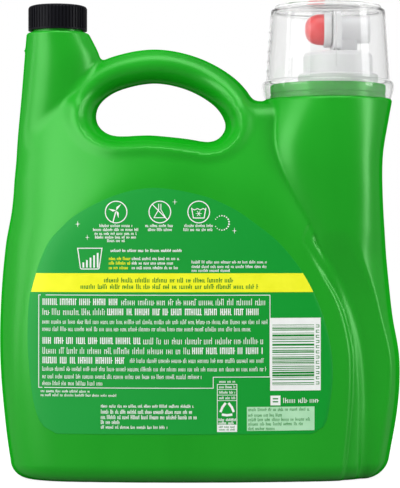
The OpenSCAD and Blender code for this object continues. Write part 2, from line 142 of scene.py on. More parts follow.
# %% Half depth of the faces
CROWN = 15.0
PANEL_X, PANEL_Z, PANEL_RX, PANEL_RZ, PANEL_SOFT = -10.0, 58.0, 111.0, 140.0, 9.0
SHOULDER_SLOPE = 0.44


def face_depth(x, z):
    """Half depth of the body's face: flat on the panel, falling away beyond its arch."""
    q = np.hypot((x - PANEL_X) / PANEL_RX, np.maximum(0, z - PANEL_Z) / PANEL_RZ)
    beyond = (q - 1) * PANEL_RX
    return (BODY_D / 2 - CROWN * ((x - PANEL_X) / (BODY_W / 2)) ** 2
            - SHOULDER_SLOPE * (beyond + np.hypot(beyond, PANEL_SOFT)) / 2)


for z in (PANEL_Z, 230):
    print(f"half depth {z} mm up: {face_depth(PANEL_X, z):.1f} mm")

# %% [markdown]
# ## Rounded cuts and fillets
# Where two forms of a moulding meet there is always a small radius. A boolean would leave a
# knife edge there, to be bevelled afterwards. Between distances the radius is part of the join:
# near the meeting line both count, and the skin swings from one to the other.


# %% Blends of two distances
def ease(share):
    """Goes from 0 to 1 as share does, with a soft start and a soft end."""
    return share * share * (3 - 2 * share)


def rounded_cut(a, b, r):
    """Inside both a and b, with their edge rounded to r."""
    return (np.minimum(np.maximum(a, b) + r, 0)
            + np.hypot(np.maximum(a + r, 0), np.maximum(b + r, 0)) - r)


def filleted_join(a, b, k):
    """Inside a or b, with a soft fillet where they meet."""
    h = np.clip(0.5 + 0.5 * (b - a) / k, 0, 1)
    return b * (1 - h) + a * h - k * h * (1 - h)


print("a fillet of 4 mm adds", float(-filleted_join(0.0, 0.0, 4.0)), "mm in the corner")

# %% [markdown]
# ## The body
# The body is a plump pillow: its faces are nearly flat in the middle and roll off fast at the
# sides, the base and the shoulders. Three shares say how near a point is to the face, to the
# side and to the top, and one power joins them. A higher power would make the roll-off tighter.
# Beside the vent tower the body's crest climbs, so tower, handle and shoulder meet in one fold.

# %% Distance from the body
BASE_R, SIDE_R, FULLNESS = 12.0, 42.0, 3.0
BODY_TOP, BODY_ROUND = TAP_SHOULDER_Z - 1.5, 14.0
CREST_X, CREST_RUN, CREST_RISE = -70.0, 20.0, 9.0
TUCK, BODY_TUCK_Z = 0.12, 195.0
FLATTEST = 0.012


def base_inset(z):
    """How far the round of the base draws the skin in at height z."""
    return BASE_R * (1 - np.sqrt(1 - np.clip((BASE_R - z) / BASE_R, 0, 1) ** 2))


def body_skin(x, y, z):
    h = np.maximum(z, BASE_R)
    tuck = TUCK * np.maximum(0, h - BODY_TUCK_Z)
    inset = base_inset(z)
    inward = np.minimum(x - left_x(h) - tuck, right_x(h) - tuck / 2 - x) - inset
    side = np.maximum(0, 1 - inward / SIDE_R)
    crest = BODY_TOP + CREST_RISE * ease(np.clip((CREST_X - x) / CREST_RUN, 0, 1))
    top = np.maximum(0, 1 - (crest - z) / BODY_ROUND)
    deep = face_depth(x, h) - inset
    out = np.abs(y / deep)
    size = (out ** FULLNESS + side ** FULLNESS + top ** FULLNESS) ** (1 / FULLNESS) + 1e-9
    parts = [(part / size) ** (FULLNESS - 1) / reach
             for part, reach in ((out, np.abs(deep)), (side, SIDE_R), (top, BODY_ROUND))]
    steep = np.sqrt(sum(part ** 2 for part in parts))
    return (size - 1) / np.maximum(steep, FLATTEST)


print(f"on the back panel, 120 mm up: {float(body_skin(PANEL_X, -BODY_D / 2, 120.0)):.2f} mm from the body")

# %% [markdown]
# ## The two towers
# Each tower is a stack of ovals that runs down into the body. They could be lofted surfaces,
# but a loft needs a seam where it meets the body. As distances they are drawn the whole way
# down, and the body covers what isn't seen. The tap's tower is squarer half way up, where its
# power is more than 2, and it has a flat front.

# %% Half widths and half depths of the towers
VENT_TOWER_X = [[150, 22], [190, 26.5], [220, 28], [250, 26.5], [275, 25],
                [VENT_SHOULDER_Z, VENT_TOWER_R]]
VENT_TOWER_Y = [[150, 12], [190, 16], [215, 18], [232, 19], [250, 20.5], [272, 21.6],
                [VENT_SHOULDER_Z, VENT_TOWER_R]]
TAP_TOWER_X = [[0, 14], [40, 18.4], [92, 21], [152, 32], [202, 39.5], [228, 42],
               [TAP_SHOULDER_Z, TAP_TOWER_R]]
TAP_TOWER_Y = [[0, 32], [40, 36], [92, 41], [152, 44.5], [202, 46.5], [228, 45],
               [TAP_SHOULDER_Z, TAP_TOWER_R]]
print("vent tower up to", 2 * max(row[1] for row in VENT_TOWER_X), "mm wide, tap tower up to",
      2 * max(row[1] for row in TAP_TOWER_Y), "mm deep")

# %% How square the tap's tower is, and how far forward its flat stands
TAP_SQUARE = [[0, 2], [140, 2], [165, 2.5], [190, 2.9], [215, 2.8], [235, 2.3], [TAP_SHOULDER_Z, 2]]
TAP_FLAT = [[0, 29.5], [35, 31.4], [60, 31.6], [85, 32.8], [116, 36], [139, 40.4], [158, 45],
            [175, 52]]
print("squarest at", max(TAP_SQUARE, key=lambda row: row[1])[0], "mm")


# %% Distance from an oval column
def oval_skin(x, y, rx, ry, power):
    """Distance from an upright oval that is squarer where power is more than 2."""
    u, v = np.abs(x) / rx, np.abs(y) / ry
    total = u ** power + v ** power + 1e-9
    steep = np.hypot(u ** (power - 1) / rx, v ** (power - 1) / ry) * total ** (1 / power - 1)
    return (total ** (1 / power) - 1) / np.maximum(steep, 0.01)


print("10 mm out from a round of 20 mm:", round(float(oval_skin(30.0, 0.0, 20.0, 20.0, 2)), 2))

# %% Distance from each tower
EDGE_R, FLAT_R = 1.6, 1.5
VENT_TUCK_Z, VENT_FOOT_Z = 200.0, 140.0


def vent_tower_skin(x, y, z):
    r = along(VENT_TOWER_X, z)
    middle = left_x(z) + r + TUCK * np.maximum(0, VENT_TUCK_Z - z)
    tower = oval_skin(x - middle, y, r, along(VENT_TOWER_Y, z), 2)
    return np.maximum(rounded_cut(tower, z - VENT_SHOULDER_Z, EDGE_R), VENT_FOOT_Z - z)


def tap_tower_skin(x, y, z):
    drop = base_inset(z)
    rx, ry = along(TAP_TOWER_X, z), along(TAP_TOWER_Y, z)
    tower = oval_skin(x - right_x(z) + rx + drop / 2, y, rx - drop / 2, ry - drop,
                      along(TAP_SQUARE, z))
    tower = rounded_cut(tower, np.abs(y) - along(TAP_FLAT, z) + drop, FLAT_R)
    return rounded_cut(tower, z - TAP_SHOULDER_Z, EDGE_R)


print("towers from", VENT_FOOT_Z, "to", VENT_SHOULDER_Z, "mm and from 0 to", TAP_SHOULDER_Z, "mm")

# %% [markdown]
# ## The handle
# The handle is pinched out of the same tube of plastic as the body, so its rim runs right round
# the finger opening as one even band. It could be a hole with a bevel, but a bevel turns uneven
# where the shoulders are thin. Instead a line is drawn half a handle's thickness outside the
# opening, and an oval tube is swept along it.


# %% A smooth closed curve
def closed_curve(points, steps):
    """Points of a smooth closed curve, with steps of them for each given point."""
    p = np.array(points, float)
    u = (np.arange(steps) / steps)[None, :, None]
    a, b, c, d = (np.roll(p, k, 0)[:, None, :] for k in (1, 0, -1, -2))
    curve = b + u / 2 * (c - a + u * (2 * a - 5 * b + 4 * c - d + u * (3 * (b - c) + d - a)))
    return curve.reshape(-1, p.shape[1])


print("four points, 8 steps each:", len(closed_curve([[0, 0], [1, 0], [1, 1], [0, 1]], 8)), "points")

# %% The finger opening, as shares of its half width and half height
HOLE_X, HOLE_Z, HOLE_W, HOLE_H = -26.0, 239.5, 85.4, 38.8
HANDLE_T, HANDLE_D, LIP = 22.4, 33.0, 1.2
HOLE_OUTLINE = [[-1, -0.1], [-0.906, 0.38], [-0.614, 0.78], [-0.1, 1], [0.41, 0.78],
                [0.83, 0.24], [1, -0.37], [0.93, -0.81], [0.74, -1], [0.377, -0.89],
                [-0.16, -0.78], [-0.68, -0.8], [-0.923, -0.546]]
hole_line = closed_curve([[HOLE_X + p[0] * HOLE_W / 2, HOLE_Z + p[1] * HOLE_H / 2]
                          for p in HOLE_OUTLINE], 3)
print("opening", HOLE_W, "by", HOLE_H, "mm,", len(hole_line), "points round it")

# %% The line that the ring follows, with its direction and its bend
step = np.roll(hole_line, -1, 0) - np.roll(hole_line, 1, 0)
outward = np.stack([-step[:, 1], step[:, 0]], 1) / np.linalg.norm(step, axis=1)[:, None]
ring_line = closed_curve(hole_line + outward * HANDLE_T / 2, 12)
ring_step = (np.roll(ring_line, -1, 0) - np.roll(ring_line, 1, 0)) / 2
ring_pace = np.linalg.norm(ring_step, axis=1)
ring_tangent = ring_step / ring_pace[:, None]
ring_outward = np.stack([-ring_tangent[:, 1], ring_tangent[:, 0]], 1)
ring_bend = -(((np.roll(ring_line, -1, 0) + np.roll(ring_line, 1, 0) - 2 * ring_line)
               * ring_outward).sum(1)) / ring_pace ** 2
print(f"ring {ring_pace.sum():.0f} mm round, tightest bend {1 / ring_bend.max():.0f} mm")


# %% How deep the ring is: as the body below, slimmer over the top where the hand holds it
def ring_half_depth(x, z):
    top = ease(np.clip((z - HOLE_Z) / (HOLE_H / 2 + HANDLE_T / 2), 0, 1))
    inward = np.minimum(x - left_x(z), right_x(z) - x)
    roll = np.maximum(0, 1 - np.maximum(0, 1 - inward / SIDE_R) ** FULLNESS) ** (1 / FULLNESS)
    return (face_depth(x, z) * roll + LIP) * (1 - top) + HANDLE_D / 2 * top


ring_depths = ring_half_depth(ring_line[:, 0], ring_line[:, 1])
ring_depth_slope = (np.roll(ring_depths, -1) - np.roll(ring_depths, 1)) / 2 / ring_pace
print(f"ring half depth from {ring_depths.min():.1f} to {ring_depths.max():.1f} mm")

# %% [markdown]
# ## How far a point is from the ring
# The nearest of the line's points is found first, and the line's bend there gives the rest, so
# few points make an exact curve. Far fewer rows are held at a time than the grid has, because
# every row is compared with every point of the line.


# %% Distance from the ring
def across_ring(x, z, rows=20000):
    """Distance outwards from the ring's middle line, and the ring's half depth there."""
    u, depth = np.empty(len(x)), np.empty(len(x))
    for start in range(0, len(x), rows):
        part = slice(start, start + rows)
        dx = x[part, None] - ring_line[None, :, 0]
        dz = z[part, None] - ring_line[None, :, 1]
        near = np.argmin(dx * dx + dz * dz, 1)
        pick = np.arange(len(near))
        dx, dz = dx[pick, near], dz[pick, near]
        a = dx * ring_tangent[near, 0] + dz * ring_tangent[near, 1]
        b = dx * ring_outward[near, 0] + dz * ring_outward[near, 1]
        bend = ring_bend[near]
        root = np.sqrt(np.maximum(1 + 2 * bend * b + bend ** 2 * (a * a + b * b), 0))
        u[part] = (2 * b + bend * (a * a + b * b)) / (1 + root)
        depth[part] = ring_depths[near] + ring_depth_slope[near] * a / np.maximum(1 + bend * b, 0.3)
    return u, depth


def ring_skin(u, y, depth):
    half = HANDLE_T / 2
    size = np.sqrt((u / half) ** 2 + (y / depth) ** 2) + 1e-9
    steep = np.sqrt((u / half ** 2) ** 2 + (y / depth ** 2) ** 2) / size
    return (size - 1) / np.maximum(steep, 0.02)


inwards = -across_ring(np.array([HOLE_X]), np.array([HOLE_Z]))[0][0]
print(f"middle of the opening: {inwards:.1f} mm from the ring's line")

# %% [markdown]
# ## The steps beside the label
# The label's panel ends on the right in two low steps, which curve down to the base and draw the
# bright lines beside the label. They could be modelled as loops of edges. Here the body is cut
# twice along an edge, once as it is and once set in a little, and the two cuts are joined. The
# steps fade out where the tap's tower takes over.

# %% Where the panel and the ledge stop, from the right-hand side
PANEL_STOP = [[0, 39.5], [16, 37.5], [44, 34.8], [70, 33.6], [89, 34.8], [114, 41.3], [136, 53.4],
              [154, 64]]
LEDGE_STOP = [[0, 29.5], [15, 28.2], [44, 27.6], [70, 28.5], [91, 31], [112, 36.7], [136, 47],
              [154, 57]]
print(f"44 mm up, the steps are {along(PANEL_STOP, 44) - along(LEDGE_STOP, 44):.1f} mm apart")

# %% The body with its two steps
LEDGE_DEEP, LEDGE_FADE_Z, LEDGE_LEAN, LEDGE_LEAN_Z, FADE_RUN = 2.2, 118.0, 0.45, 80.0, 40.0
CREASE_Z, CREASE_SLOPE = 158.0, 0.5
PANEL_R, LEDGE_R, STEP_FILLET = 3.0, 2.6, 1.2


def stepped_body(x, y, z):
    body = body_skin(x, y, z)
    ledge = body + LEDGE_DEEP * (1 - ease(np.clip((z - LEDGE_FADE_Z) / FADE_RUN, 0, 1)))
    lean = 1 / np.hypot(1, LEDGE_LEAN * np.clip((z - LEDGE_LEAN_Z) / FADE_RUN, 0, 1))
    right = x - BODY_W / 2
    clear_of_crease = CREASE_SLOPE * np.maximum(0, z - CREASE_Z)
    panel = rounded_cut(body, (right + along(PANEL_STOP, z) - clear_of_crease) * lean, PANEL_R)
    ledge = rounded_cut(ledge, (right + along(LEDGE_STOP, z) - clear_of_crease) * lean, LEDGE_R)
    return filleted_join(panel, ledge, STEP_FILLET)


print("steps", LEDGE_DEEP, "mm deep, gone", LEDGE_FADE_Z + FADE_RUN, "mm up")

# %% [markdown]
# ## The bottle as one distance
# All the forms are now joined, each with a fillet of its own: small at the crisp shoulders and
# wide at the foot of the tap's tower. The base is pushed up in its middle, so that the bottle
# stands on its rim. Blown bottles do this because a flat base would sag and rock.

# %% The whole bottle
VENT_FILLET, TAP_FILLET, RING_FILLET = 2.0, 1.5, 4.0
TAP_FOOT_FILLET, TAP_FOOT_Z, TAP_FOOT_RUN = 4.5, 160.0, 40.0
PUSH_UP, STANDING_RIM, PUSH_UP_RUN, RIM_R = 3.5, 17.0, 10.0, 0.6
RING_NEAR = 8.0
FAR = 1000.0


def bottle_skin(p):
    x, y, z = p[:, 0], p[:, 1], p[:, 2]
    near = ((np.abs(x - HOLE_X) < HOLE_W / 2 + HANDLE_T + RING_NEAR)
            & (np.abs(z - HOLE_Z) < HOLE_H / 2 + HANDLE_T + RING_NEAR))
    u, depth = np.full(len(x), FAR), np.ones(len(x))
    u[near], depth[near] = across_ring(x[near], z[near])
    skin = filleted_join(stepped_body(x, y, z), vent_tower_skin(x, y, z), VENT_FILLET)
    foot = ease(np.clip((TAP_FOOT_Z - z) / TAP_FOOT_RUN, 0, 1))
    skin = filleted_join(skin, tap_tower_skin(x, y, z), TAP_FILLET + TAP_FOOT_FILLET * foot)
    skin = np.maximum(skin, -u)
    skin = filleted_join(skin, ring_skin(u, y, depth), RING_FILLET)
    inside_base = -body_skin(x, y, np.full(len(x), BASE_R)) - STANDING_RIM
    lift = PUSH_UP * ease(np.clip(inside_base / PUSH_UP_RUN, 0, 1))
    return rounded_cut(skin, lift - z, RIM_R)


print(f"middle of the bottle: {float(bottle_skin(np.array([[0.0, 0.0, 120.0]]))[0]):.1f} mm")

# %% [markdown]
# ## From a distance to a mesh
# Space is cut into small cells. Each cell that the skin passes through gets one point, and each
# edge of the grid that the skin crosses gets one four-sided face between the points round it.
# Blender's own remesher works in the same way from a finished mesh, but there is none yet, and
# it would round off the small steps. Here the points can be moved onto the skin afterwards.


# %% Where the skin crosses the edges of the grid
def crossings_of(value):
    """For each axis, the edges that the skin crosses, the spots, and whether they start inside."""
    found = []
    for axis in range(3):
        first = [slice(None)] * 3
        second = [slice(None)] * 3
        first[axis], second[axis] = slice(0, -1), slice(1, None)
        a, b = value[tuple(first)], value[tuple(second)]
        cross = (a < 0) != (b < 0)
        edges = np.argwhere(cross)
        spots = edges.astype(float)
        spots[:, axis] += (a / np.where(cross, a - b, 1))[cross]
        found.append((axis, edges, spots, (a < 0)[cross]))
    return found


def cells_beside(edges, axis, s, t):
    """One of the four cells round each edge, s and t steps back along the two other axes."""
    others = [k for k in range(3) if k != axis]
    cells = edges.copy()
    cells[:, others[0]] -= s
    cells[:, others[1]] -= t
    return cells


wall = np.array([-1.0, 1.0] * 4).reshape(2, 2, 2)
print("a wall through one cell crosses", sum(len(found[1]) for found in crossings_of(wall)), "edges")


# %% One point in each cell, at the mean of the crossings round it
def cell_points(crossings, shape):
    """The sum of the spots round each cell, and how many there are."""
    total, hits = np.zeros([*shape, 3]), np.zeros(shape)
    for axis, edges, spots, _ in crossings:
        for s, t in ((0, 0), (0, 1), (1, 0), (1, 1)):
            cells = cells_beside(edges, axis, s, t)
            good = ((cells >= 0) & (cells < np.array(shape))).all(1)
            np.add.at(total, tuple(cells[good].T), spots[good])
            np.add.at(hits, tuple(cells[good].T), 1)
    return total, hits


# %% One face round each crossed edge
def mesh_of(skin, low, high, cell):
    """Points near a skin, and the four-sided faces between them."""
    axes = [np.arange(a, b + cell, cell) for a, b in zip(low, high)]
    grid = np.stack(np.meshgrid(*axes, indexing="ij"), -1).reshape(-1, 3)
    print("grid:", " x ".join(str(len(a)) for a in axes), "points")
    crossings = crossings_of(skin(grid).reshape([len(a) for a in axes]))
    total, hits = cell_points(crossings, [len(a) - 1 for a in axes])
    used = hits > 0
    number = -np.ones(hits.shape, int)
    number[used] = np.arange(used.sum())
    faces = []
    for axis, edges, _, starts_inside in crossings:
        quad = np.stack([number[tuple(cells_beside(edges, axis, s, t).T)]
                         for s, t in ((1, 1), (0, 1), (0, 0), (1, 0))], 1)
        flip = starts_inside == (axis == 1)
        quad[flip] = quad[flip][:, ::-1]
        faces.append(quad)
    return total[used] / hits[used][:, None] * cell + np.array(low), np.concatenate(faces)


def ball_skin(p):
    """A ball of 10 mm in radius, to try the tools on."""
    return np.linalg.norm(p, axis=1) - 10


ball_points, ball_faces = mesh_of(ball_skin, (-12, -12, -12), (12, 12, 12), 2.0)
print("ball:", len(ball_points), "points,", len(ball_faces), "faces, off by",
      round(float(np.abs(ball_skin(ball_points)).max()), 3), "mm")


# %% [markdown]
# ## Onto the skin
# The points of the mesh still lie a little off the skin, and a glossy plastic shows that as
# dents. More cells would help, but slowly. So each point is moved along the slope of the
# distance until hardly anything is left, and the same slope gives the shading, which makes the
# mesh look smoother than its cells.


# %% Slope of a distance, and moving points onto the skin
def slope_of(skin, p, reach=0.15):
    """Direction in which a distance grows, by looking a little way along each axis."""
    parts = []
    for axis in range(3):
        step = np.zeros(3)
        step[axis] = reach
        parts.append((skin(p + step) - skin(p - step)) / (2 * reach))
    return np.stack(parts, 1)


def settle(skin, place, cell, rounds=4):
    """Moves points onto the skin along its slope."""
    for _ in range(rounds):
        slope = slope_of(skin, place)
        move = skin(place)[:, None] * slope / np.maximum((slope ** 2).sum(1), 0.05)[:, None]
        length = np.linalg.norm(move, axis=1)[:, None]
        place = place - move * np.minimum(1, 0.5 * cell / np.maximum(length, 1e-9))
    return place


settled_ball = settle(ball_skin, ball_points, 2.0)
print("ball, settled: off by", round(float(np.abs(ball_skin(settled_ball)).max()), 6), "mm")

# %% The bottle's skin
SEARCH_LOW, SEARCH_HIGH = (-134, -56, -3), (134, 56, 296)
FINE_CELL, QUICK_CELL = 1.5, 3.2
cell = FINE_CELL
skin_points, skin_faces = mesh_of(bottle_skin, SEARCH_LOW, SEARCH_HIGH, cell)
skin_points = settle(bottle_skin, skin_points, cell)
skin_normals = slope_of(bottle_skin, skin_points)
skin_normals /= np.linalg.norm(skin_normals, axis=1)[:, None]
print("bottle skin:", len(skin_points), "points, distance left",
      float(np.abs(bottle_skin(skin_points)).max()))

# %% [markdown]
# ## Open necks
# The skin so far is closed, but liquid and air pass through both towers. The faces inside the
# two necks are left out, which is simpler than cutting them with a boolean, because the necks
# cover the ragged edge.

# %% Leave both necks open
VENT_X = float(left_x(VENT_SHOULDER_Z)) + VENT_TOWER_R
COLLAR_X = float(right_x(TAP_SHOULDER_Z)) - TAP_TOWER_R
VENT_NECK_R, COLLAR_R, NECK_WALL = 16.4, 38.0, 2.2
UNDER_NECK = 1.2


def near_axis(points, x, r, low):
    return (np.hypot(points[:, 0] - x, points[:, 1]) < r) & (points[:, 2] > low)


open_ends = (near_axis(skin_points, VENT_X, VENT_NECK_R - UNDER_NECK, VENT_SHOULDER_Z - 1)
             | near_axis(skin_points, COLLAR_X, COLLAR_R - UNDER_NECK, TAP_SHOULDER_Z - 1))
skin_faces = skin_faces[~open_ends[skin_faces].any(1)]
kept = np.unique(skin_faces)
renumber = -np.ones(len(skin_points), int)
renumber[kept] = np.arange(len(kept))
new_piece("bottle_skin", skin_points[kept], renumber[skin_faces], "bottle", "bottle_plastic",
          replaces=["bottle"], normals=skin_normals[kept])

# %% [markdown]
# ## Turned parts
# The collar, the necks and the cup are round. Blender's screw modifier could turn a drawn line,
# but then the numbers would sit in the line's points. Here a profile is a row of radius and
# height, and a closed profile makes a wall with a real thickness, which shows as soon as the
# cap or the cup is off.


# %% Turn a profile into points and faces
def turned(profile, x, steps=144, closed=True):
    """Points and faces of a profile of [radius, height] turned about an upright axis at x."""
    points, rings = [], []
    for r, z in profile:
        if r < 1e-6:
            points.append([x, 0, z])
            rings.append([len(points) - 1] * steps)
        else:
            rings.append(list(range(len(points), len(points) + steps)))
            points += [[x + r * math.cos(2 * math.pi * k / steps),
                        r * math.sin(2 * math.pi * k / steps), z] for k in range(steps)]
    faces = []
    for a, b in zip(rings, rings[1:] + (rings[:1] if closed else [])):
        for k in range(steps):
            loop = [a[k], a[(k + 1) % steps], b[(k + 1) % steps], b[k]]
            loop = [v for i, v in enumerate(loop) if v not in loop[:i]]
            if len(loop) > 2:
                faces.append(loop)
    return points, faces


print("a row of 3 points, turned, has", len(turned([[1, 0], [2, 0], [2, 1]], 0)[1]), "faces")


# %% Faces of a sheet of points, and several parts as one mesh
def sheet_faces(rows, columns, turn_over=False):
    """Four-sided faces between points that are numbered row by row."""
    faces = []
    for j in range(rows - 1):
        for i in range(columns - 1):
            a = j * columns + i
            face = [a, a + 1, a + 1 + columns, a + columns]
            faces.append([face[0], face[3], face[2], face[1]] if turn_over else face)
    return faces


def joined(*parts):
    """One mesh from several lists of points and faces."""
    points, faces = [], []
    for more_points, more_faces in parts:
        faces += [[v + len(points) for v in f] for f in more_faces]
        points += list(more_points)
    return points, faces


print("a sheet of 3 by 3 points has", len(sheet_faces(3, 3)), "faces")

# %% [markdown]
# ## The collar and the tap's neck
# The collar is the step that the measuring cup sits over, and a fine groove runs round it. The
# tap's closure snaps on a bead at the top of the neck that stands on it, a little off its
# middle. Both are part of the moulding, so they ride on the bottle.

# %% Profile of the collar
COLLAR_Z = TAP_SHOULDER_Z + 9.7
GROOVE_Z = COLLAR_Z - 6.2
COLLAR_WALL, COLLAR_BURIED = 1.4, 1.2
collar_rows = [[COLLAR_R - COLLAR_WALL, TAP_SHOULDER_Z - COLLAR_BURIED],
               [COLLAR_R + 0.5, TAP_SHOULDER_Z - COLLAR_BURIED],
               [COLLAR_R + 0.2, TAP_SHOULDER_Z + 0.5], [COLLAR_R, TAP_SHOULDER_Z + 1],
               [COLLAR_R, GROOVE_Z - 0.8], [COLLAR_R - 0.3, GROOVE_Z - 0.6],
               [COLLAR_R - 0.5, GROOVE_Z], [COLLAR_R - 0.3, GROOVE_Z + 0.6],
               [COLLAR_R, GROOVE_Z + 0.8], [COLLAR_R, COLLAR_Z - 0.9],
               [COLLAR_R - 0.25, COLLAR_Z - 0.3], [COLLAR_R - 0.9, COLLAR_Z], [1, COLLAR_Z],
               [1, COLLAR_Z - 1.2], [COLLAR_R - COLLAR_WALL, COLLAR_Z - 1.2]]
new_piece("collar", *turned(collar_rows, COLLAR_X), "bottle", "bottle_plastic")

# %% The neck that the tap snaps on
NECK_X, TAP_NECK_R, NECK_TOP, SNAP_BEAD = COLLAR_X + 6.6, 20.4, 276.4, 0.6


def neck_rows(r, low, high, bead):
    """Profile of a neck with a bead under its mouth."""
    return [[r - NECK_WALL, low], [r, low], [r, high - 4], [r + bead, high - 3.2],
            [r + bead, high - 2.2], [r, high - 1], [r - 0.1, high - 0.3], [r - 0.4, high],
            [r - NECK_WALL + 0.3, high], [r - NECK_WALL, high - 0.3]]


new_piece("tap_neck", *turned(neck_rows(TAP_NECK_R, COLLAR_Z - 1, NECK_TOP, SNAP_BEAD), NECK_X),
          "bottle", "bottle_plastic")

# %% [markdown]
# ## The vent neck and its thread
# The vent cap screws on a neck with a single thread. A thread could be left to a bump, as it is
# small, but it stands against the light when the cap is off. So it is a real ridge, with four
# points across, that winds up the neck and fades at both ends as moulded threads do.

# %% The vent neck with its thread
VENT_TOP = VENT_SHOULDER_Z + 15
THREAD_PITCH, THREAD_TURNS, THREAD_OUT, THREAD_WIDE = 4.23, 1.75, 0.6, 0.9
THREAD_SUNK, THREAD_FADE = -0.4, 14


def helix(x, r, low, pitch, turns, high, wide, steps=96):
    """A thread: a low ridge that winds up a neck and fades at both ends."""
    points = []
    count = int(turns * steps)
    for k in range(count + 1):
        a = 2 * math.pi * k / steps
        fade = min(1, k / THREAD_FADE, (count - k) / THREAD_FADE)
        for out, up in ((THREAD_SUNK, -wide), (high * fade, -wide * 0.45),
                        (high * fade, wide * 0.45), (THREAD_SUNK, wide)):
            points.append([x + (r + out) * math.cos(a), (r + out) * math.sin(a),
                           low + pitch * k / steps + up * max(fade, 0.2)])
    return points, sheet_faces(count + 1, 4, turn_over=True)


new_piece("vent_neck",
          *joined(turned(neck_rows(VENT_NECK_R, VENT_SHOULDER_Z - 1.2, VENT_TOP, 0.1), VENT_X),
                  helix(VENT_X, VENT_NECK_R, VENT_SHOULDER_Z + 3.2, THREAD_PITCH, THREAD_TURNS,
                        THREAD_OUT, THREAD_WIDE)),
          "bottle", "bottle_plastic")

# %% [markdown]
# ## The back label
# The label is a thin printed film on the flat panel. It could be a picture on the bottle's own
# skin, but then it would have no edge of its own to catch the light. Its sheet follows the skin,
# found by moving each point front to back until its distance is the film's thickness.

# %% Outline of the label, in x and z
LABEL_LOW, LABEL_CORNER, LABEL_T, INK_T = 32.0, 9.0, 0.2, 0.06
LABEL_OUTLINE = [[-99, 32], [-106, 50], [-109.5, 76], [-110.4, 98], [-108.5, 122], [-99, 150],
                 [-89, 163], [-76, 173.5], [-52, 184.5], [-28.5, 188.5], [0, 184], [20, 176],
                 [35, 166], [51, 153], [66, 134], [76, 114], [83, 90], [84.8, 69], [82.5, 48],
                 [79, 32]]
padded_outline = [LABEL_OUTLINE[0]] + LABEL_OUTLINE + [LABEL_OUTLINE[-1]]
outline = np.concatenate([closed_curve(padded_outline, 8)[8:-16], [LABEL_OUTLINE[-1]]])
apex = int(np.argmax(outline[:, 1]))
print(f"label up to {outline[apex, 1]:.1f} mm, {len(outline)} points on its outline")


# %% From the outline to the skin
def label_edges(z):
    """Left and right edge of the label at height z."""
    left = np.interp(z, outline[:apex + 1, 1], outline[:apex + 1, 0])
    right = np.interp(z, outline[apex:, 1][::-1], outline[apex:, 0][::-1])
    below = np.clip(LABEL_LOW + LABEL_CORNER - z, 0, LABEL_CORNER)
    tuck = LABEL_CORNER - np.sqrt(LABEL_CORNER ** 2 - below ** 2)
    return left + tuck, right - tuck


def on_label(x, z, lift):
    """Points over the back skin, as far from it as lift."""
    x, z = np.asarray(x, float), np.asarray(z, float)
    lift = np.broadcast_to(np.asarray(lift, float), x.shape)
    y = -face_depth(x, z)
    for _ in range(5):
        p = np.stack([x, y, z], 1)
        ahead = bottle_skin(p)
        slope = (bottle_skin(p + [0, 0.1, 0]) - ahead) / 0.1
        y = y - (ahead - lift) / np.minimum(slope, -0.3)
    return np.stack([x, y, z], 1)


print("label 100 mm up from x", *[round(float(x), 1) for x in label_edges(100.0)])

# %% The label's sheet
TURNED_ACROSS, TURNED_UP = 0.0015, 0.0006  # shares of the sheet that its turned edges take


def shares(count, turned_edge):
    """Shares from 0 to 1, with one more row close to each end for the turned edge."""
    return np.concatenate([[0, turned_edge], np.linspace(0, 1, count)[1:-1], [1 - turned_edge, 1]])


def sheet_between(low, high, rows, columns, lift, edge=0.0, crowd_top=False):
    """A sheet from edge to edge of the label, with its own edges turned down to the skin."""
    t = shares(rows, TURNED_UP)
    z = low + (high - low) * (np.sin(t * math.pi / 2) if crowd_top else t)
    left, right = label_edges(z)
    x = (left + edge)[:, None] + (right - left - 2 * edge)[:, None] * shares(columns, TURNED_ACROSS)
    lifts = np.full(x.shape, lift)
    edge_lift = lift if edge else 0.0
    lifts[[0, -1], :] = edge_lift
    lifts[:, [0, -1]] = edge_lift
    zz = np.broadcast_to(z[:, None], x.shape)
    points = on_label(x.ravel(), zz.ravel(), lifts.ravel())
    return points, sheet_faces(*x.shape)


new_piece("label_sheet",
          *sheet_between(LABEL_LOW, float(outline[apex, 1]) - 0.01, 60, 72, LABEL_T, crowd_top=True),
          "bottle", "label_film", replaces=["back_label"])

# %% [markdown]
# ## Print on the label
# Print is ink on the film. An image would carry it, but it would blur when a reader comes near.
# Here each colour is one thin mesh a hair above the film, made of flat patches that bend with
# it: blocks, lines and rings.

# %% Ink as flat patches
INK_LIFT = LABEL_T + INK_T
ink = {"white": [], "yellow": [], "dark_green": [], "pale_green": []}


def patch(colour, corners, layer=0, reach=6.0):
    """A four-sided patch of ink, given by its corners in x and z, bent over the label."""
    a, b, c, d = (np.array(p, float) for p in corners)
    across = max(1, math.ceil(max(np.linalg.norm(b - a), np.linalg.norm(c - d)) / reach))
    up = max(1, math.ceil(max(np.linalg.norm(d - a), np.linalg.norm(c - b)) / reach))
    s, t = np.meshgrid(np.arange(across + 1) / across, np.arange(up + 1) / up)
    s, t = s.reshape(-1, 1), t.reshape(-1, 1)
    flat = (a * (1 - s) + b * s) * (1 - t) + (d * (1 - s) + c * s) * t
    ink[colour].append((np.column_stack([flat, np.full(len(flat), layer)]),
                        sheet_faces(up + 1, across + 1)))


def block(colour, x0, z0, x1, z1, layer=0):
    patch(colour, [(x0, z0), (x1, z0), (x1, z1), (x0, z1)], layer)


print("inks:", ", ".join(ink))


# %% Lines, rings and dots of ink
def stroke(colour, points, width, layer=0):
    """A line of ink through points."""
    for a, b in zip(points, points[1:]):
        a, b = np.array(a, float), np.array(b, float)
        along_line = (b - a) / max(np.linalg.norm(b - a), 1e-6)
        side = np.array([-along_line[1], along_line[0]]) * width / 2
        a, b = a - along_line * width * 0.4, b + along_line * width * 0.4
        patch(colour, [a - side, b - side, b + side, a + side], layer)


